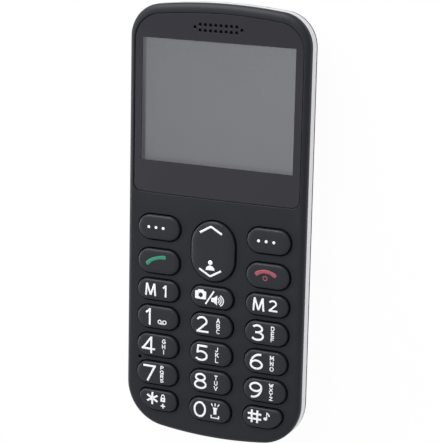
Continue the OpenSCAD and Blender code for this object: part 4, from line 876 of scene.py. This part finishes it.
# Small letters, drawn in a box one unit high and wide.
STEM, FAR_STEM = [(0.1, 0), (0.1, 1)], [(0.9, 0), (0.9, 1)]
EYE_OF_P = [[(0.1, 1), (0.5, 1)], bend(0.5, 0.74, 0.42, 0.26, 90, -90), [(0.1, 0.48), (0.5, 0.48)]]
LETTERS = {
    "A": [[(0, 0), (0.5, 1)], [(1, 0), (0.5, 1)], [(0.2, 0.34), (0.8, 0.34)]],
    "B": [STEM, [(0.1, 1), (0.5, 1)], bend(0.5, 0.76, 0.4, 0.24, 90, -90), [(0.1, 0.52), (0.5, 0.52)],
          bend(0.5, 0.26, 0.46, 0.26, 90, -90), [(0.1, 0), (0.5, 0)]],
    "C": [bend(0.55, 0.5, 0.5, 0.5, 48, 312)],
    "D": [STEM, [(0.1, 1), (0.4, 1)], bend(0.4, 0.5, 0.55, 0.5, 90, -90), [(0.1, 0), (0.4, 0)]],
    "E": [STEM, [(0.1, 1), (0.9, 1)], [(0.1, 0.5), (0.8, 0.5)], [(0.1, 0), (0.9, 0)]],
    "F": [STEM, [(0.1, 1), (0.9, 1)], [(0.1, 0.5), (0.8, 0.5)]],
    "G": [bend(0.55, 0.5, 0.5, 0.5, 48, 350), [(0.62, 0.45), (1.0, 0.45)]],
    "H": [STEM, FAR_STEM, [(0.1, 0.5), (0.9, 0.5)]],
    "I": [[(0.5, 0), (0.5, 1)]],
    "J": [[(0.7, 1), (0.7, 0.3)], bend(0.38, 0.3, 0.32, 0.3, 0, -160)],
    "K": [STEM, [(0.15, 0.4), (0.9, 1)], [(0.4, 0.58), (0.95, 0)]],
    "L": [STEM, [(0.1, 0), (0.9, 0)]],
    "M": [[(0.02, 0), (0.02, 1)], [(0.98, 0), (0.98, 1)], [(0.05, 1), (0.5, 0.3)], [(0.95, 1), (0.5, 0.3)]],
    "N": [STEM, FAR_STEM, [(0.1, 1), (0.9, 0)]],
    "O": [bend(0.5, 0.5, 0.5, 0.5, 0, 360)],
    "P": [STEM, *EYE_OF_P],
    "Q": [bend(0.5, 0.5, 0.5, 0.5, 0, 360), [(0.6, 0.3), (1.0, -0.05)]],
    "R": [STEM, *EYE_OF_P, [(0.5, 0.48), (0.95, 0)]],
    "S": [bend(0.5, 0.75, 0.42, 0.25, 30, 270), bend(0.5, 0.25, 0.45, 0.25, 90, -150)],
    "T": [[(0.5, 0), (0.5, 1)], [(0.05, 1), (0.95, 1)]],
    "U": [[(0.1, 1), (0.1, 0.4)], bend(0.5, 0.4, 0.4, 0.4, 180, 360), [(0.9, 0.4), (0.9, 1)]],
    "V": [[(0, 1), (0.5, 0)], [(0.5, 0), (1, 1)]],
    "W": [[(-0.05, 1), (0.25, 0)], [(0.25, 0), (0.5, 0.8)], [(0.5, 0.8), (0.75, 0)], [(0.75, 0), (1.05, 1)]],
    "X": [[(0.05, 0), (0.95, 1)], [(0.05, 1), (0.95, 0)]],
    "Y": [[(0, 1), (0.5, 0.5)], [(1, 1), (0.5, 0.5)], [(0.5, 0.5), (0.5, 0)]],
    "Z": [[(0.08, 1), (0.92, 1)], [(0.92, 1), (0.08, 0)], [(0.08, 0), (0.92, 0)]],
}


def letters(word, x, top, bottom):
    """A word written downwards, one small letter under another, between two heights."""
    pitch = (top - bottom) / len(word)
    size = min(LETTER_H, pitch - LETTER_GAP)
    feet = [top - pitch * (k + 1) + (pitch - size) / 2 for k in range(len(word))]
    return [stroke(np.array(path) * (LETTER_W, size) + (x, foot_y), LETTER, LETTER_END)
            for foot_y, letter in zip(feet, word) for path in LETTERS[letter]]


def dots(y, *places, radius=0.46):
    """Round dots in a row at one height."""
    return [blot(ring((x, y), radius, 24), (x, y)) for x in places]


def arrow(start, turn_y, turn, end):
    """An open arrowhead, rounded at its point."""
    return stroke(np.vstack([[start], bend(-0.5, turn_y, 0.5, 0.22, *turn), [end]]), BOLD)


def handset(share):
    """Width of a telephone handset along its length: a bow between two slightly thicker ends, rounded off."""
    bow_width, swell, swell_from, swell_run, round_from, least = 1.08, 0.2, 0.5, 0.2, 0.84, 0.02
    far = np.abs(2 * share - 1)
    wide = bow_width + swell * np.clip((far - swell_from) / swell_run, 0, 1)
    rounded = np.clip(far - round_from, 0, 1) / (1 - round_from)
    return wide * np.sqrt(np.clip(1 - rounded ** 2, least, 1))


def eyelet(x, y, radius):
    """A round hole's edge, with as many points as a box outline has, from the bottom round."""
    return bend(x, y, radius, radius, -90, 270, 41)[:-1]


ONE, FOUR, SEVEN, LAST = -32.5, -41.4, -50.25, -59.15
person = [blot(ring((-0.5, -10.6), 0.72, 32), (-0.5, -10.6)),
          blot(bend(-0.5, -12.95, 1.45, 1.45, 0, 180), (-0.5, -12.5))]
camera_sign = [blot(box_outline(-5.25, -22.1, -1.6, -19.55, 0.4), eyelet(-3.4, -20.85, 0.72)),
               blot(box_outline(-4.35, -19.7, -2.45, -19.15, 0.2), (-3.4, -19.4))]
speaker = [blot(box_outline(0.05, -22.55, 0.8, -21.25, 0.1), (0.4, -21.9)),
           blot([(0.7, -22.5), (2.0, -23.45), (2.0, -20.35), (0.7, -21.3)], (1.4, -21.9))]
speaker += [stroke(bend(1.9, -21.9, rx, ry, -60, 60), FINE)
            for rx, ry in ((0.75, 0.85), (1.45, 1.35), (2.15, 1.85))]
voice_mail = [stroke(bend(x, -31.15, 0.55, 0.55, 0, 360), 0.3) for x in (-16.95, -15.35)]
voice_mail.append(stroke([(-16.95, -31.7), (-15.35, -31.7)], 0.3))
star = [stroke(bend(-19.1, -55.6, 2.05, 1.95, a + 180, a, 2), BOLD) for a in (90, 30, 150)]
padlock = [blot(box_outline(-16.3, -56.3, -14.7, -54.95, 0.12), eyelet(-15.5, -55.6, 0.22)),
           stroke(bend(-15.5, -54.9, 0.5, 0.85, 0, 180), 0.3)]
plus = [stroke(path, 0.42) for path in (
    [(-16.2, -57.65), (-14.7, -57.65)], [(-15.45, -56.9), (-15.45, -58.4)])]
rays = [stroke(path, FINE) for path in (
    [(2.05, -54.0), (2.05, -54.85)], [(0.75, -54.1), (1.25, -54.95)], [(3.35, -54.1), (2.85, -54.95)])]
torch = [blot([(1.3, -55.3), (1.55, -56.2), (1.55, -57.5), (2.55, -57.5), (2.55, -56.2), (2.8, -55.3)],
              (2.05, -56.2))]
tray = [stroke(path, 0.36) for path in (
    [(0.8, -57.75), (0.8, -58.55)], [(0.62, -58.6), (3.48, -58.6)], [(3.3, -57.75), (3.3, -58.55)])]
hash_sign = [stroke(path, BOLD) for path in (
    [(14.15, -53.9), (14.15, -57.85)], [(15.95, -53.9), (15.95, -57.85)],
    [(12.85, -55.1), (17.25, -55.1)], [(12.85, -56.65), (17.25, -56.65)])]
note = [blot(bend(18.55, -56.15, 0.62, 0.48, 0, 360, 33)[:-1], (18.55, -56.15)),
        stroke([(19.0, -56.1), (19.0, -54.1)], 0.32),
        stroke([(19.0, -54.2), (19.7, -54.75), (19.75, -55.3)], 0.36)]
signs = {
    "soft_left": dots(-2.05, -21.0, -18.6, -16.2),
    "soft_right": dots(-2.1, 14.9, 17.3, 19.7),
    "rocker": [arrow((-4.1, -1.8), 0.0, (118, 62), (3.1, -1.7)),
               arrow((-4.1, -12.8), -14.5, (242, 298), (3.05, -12.8))] + person,
    "m1": digit("M", -22.05, -23.3, 3.85, 0.58) + digit("1", -16.1, -23.25, 3.7, 0.54),
    "camera": camera_sign + [stroke([(0.9, -19.25), (-1.8, -23.45)], 0.5)] + speaker,
    "m2": digit("M", 13.4, -23.25, 4.0, 0.58) + digit("2", 18.55, -22.95, 3.55, 0.54),
    "1": digit("1", -21.75, ONE) + voice_mail,
    "2": digit("2", -4.85, ONE) + letters("ABC", 1.95, -27.3, -32.3),
    "3": digit("3", 13.5, ONE) + letters("DEF", 19.6, -27.3, -32.3),
    "4": digit("4", -23.0, FOUR) + letters("GHI", -16.0, -36.3, -41.3),
    "5": digit("5", -4.9, FOUR) + letters("JKL", 1.75, -36.3, -41.3),
    "6": digit("6", 13.0, FOUR) + letters("MNO", 19.6, -36.3, -41.3),
    "7": digit("7", -22.4, SEVEN) + letters("PQRS", -16.5, -44.9, -50.3),
    "8": digit("8", -5.2, SEVEN) + letters("TUV", 1.6, -45.1, -50.1),
    "9": digit("9", 13.0, SEVEN) + letters("WXYZ", 19.6, -44.9, -50.3),
    "star": star + padlock + plus,
    "0": digit("0", -5.15, LAST) + rays + torch + tray,
    "hash": hash_sign + note,
}
for sign, sheets in signs.items():
    printed("sign_" + sign, "key_" + sign, sheets, white_ink)
lifted = [(-21.65, -13.65), (-20.6, -12.55), (-19.2, -11.75), (-17.6, -11.25), (-16.4, -11.05),
          (-15.15, -11.0)]
printed("sign_call", "key_call", [stroke(lifted, handset)], green_ink)
power_sign = [stroke(path, 0.28) for path in (
    bend(17.25, -13.1, 0.65, 0.65, 125, 415), [(17.25, -12.35), (17.25, -13.0)])]
laid_down = stroke(bend(17.4, -14.4, 4.1, 3.3, 143, 37), handset)
printed("sign_end", "key_end", [laid_down] + power_sign, red_ink)


# Floor, surroundings and lamps. A pale sheet in a white room, with a soft box low beyond the phone's top
# left, a smaller one still lower on the left, and a weak one opposite.
FLOOR, FLOOR_Z, FLOOR_IN_VIEW, ROOM_LIGHT, WHITE = 3, -5e-5, 0.97, 0.5, linear("#ffffff")
paper = new_material("paper_sheet_white")
path = add_node(paper, "LightPath").outputs
pale = add_node(paper, "BsdfDiffuse", {"Color": linear("#f4f4f4")})
glow = add_node(paper, "Emission", {"Color": WHITE, "Strength": 1.0})
in_view = add_node(paper, "Math", {0: path["Is Camera Ray"], 1: FLOOR_IN_VIEW}, operation="MULTIPLY")
seen = add_node(paper, "Math", {0: in_view, 1: path["Is Glossy Ray"]}, operation="MAXIMUM")
sheet = add_node(paper, "MixShader", {0: seen, 1: pale, 2: glow})
add_node(paper, "OutputMaterial", {"Surface": sheet})
floor_mesh = bpy.data.meshes.new("floor")
floor_corners = [(x * FLOOR, y * FLOOR, FLOOR_Z) for x, y in ((-1, -1), (1, -1), (1, 1), (-1, 1))]
floor_mesh.from_pydata(floor_corners, [], [(0, 1, 2, 3)])
floor_mesh.materials.append(paper)
floor = bpy.data.objects.new("floor", floor_mesh)
bpy.context.scene.collection.objects.link(floor)

room = bpy.data.worlds.new("white_room")
room.use_nodes = True
room.node_tree.nodes.clear()
path = add_node(room, "LightPath").outputs
seen = add_node(room, "Math", {0: path["Is Camera Ray"], 1: path["Is Transmission Ray"]}, operation="MAXIMUM")
seen_too = add_node(room, "Math", {0: seen, 1: path["Is Glossy Ray"]}, operation="MAXIMUM")
power = add_node(room, "MapRange", {"Value": seen_too, "To Min": ROOM_LIGHT, "To Max": 1.0})
light = add_node(room, "Background", {"Color": WHITE, "Strength": power})
add_node(room, "OutputWorld", {"Surface": light})
bpy.context.scene.world = room


def soft_box(name, place, aim, size, watts):
    """A square lamp at a place, turned to face a point."""
    lamp = bpy.data.lights.new(name, "AREA")
    lamp.energy, lamp.size = watts, size
    box = bpy.data.objects.new(name, lamp)
    back = np.array(place) - np.array(aim)
    back = back / np.linalg.norm(back)
    side = np.cross((0, 1, 0) if abs(back[1]) < 0.9 else (1, 0, 0), back)
    side = side / np.linalg.norm(side)
    turn = np.eye(4)
    turn[:3, 0], turn[:3, 1], turn[:3, 2], turn[:3, 3] = side, np.cross(back, side), back, place
    box.matrix_world = Matrix(turn.tolist())
    bpy.context.scene.collection.objects.link(box)


soft_box("key_light", (-0.2, 0.45, 0.24), (0, 0.02, 0), 0.36, 4.1)
soft_box("side_light", (-0.55, -0.05, 0.13), (0, 0, 0.01), 0.24, 1.3)
soft_box("fill_light", (0.5, -0.5, 0.7), (0, 0, 0), 0.6, 0.6)
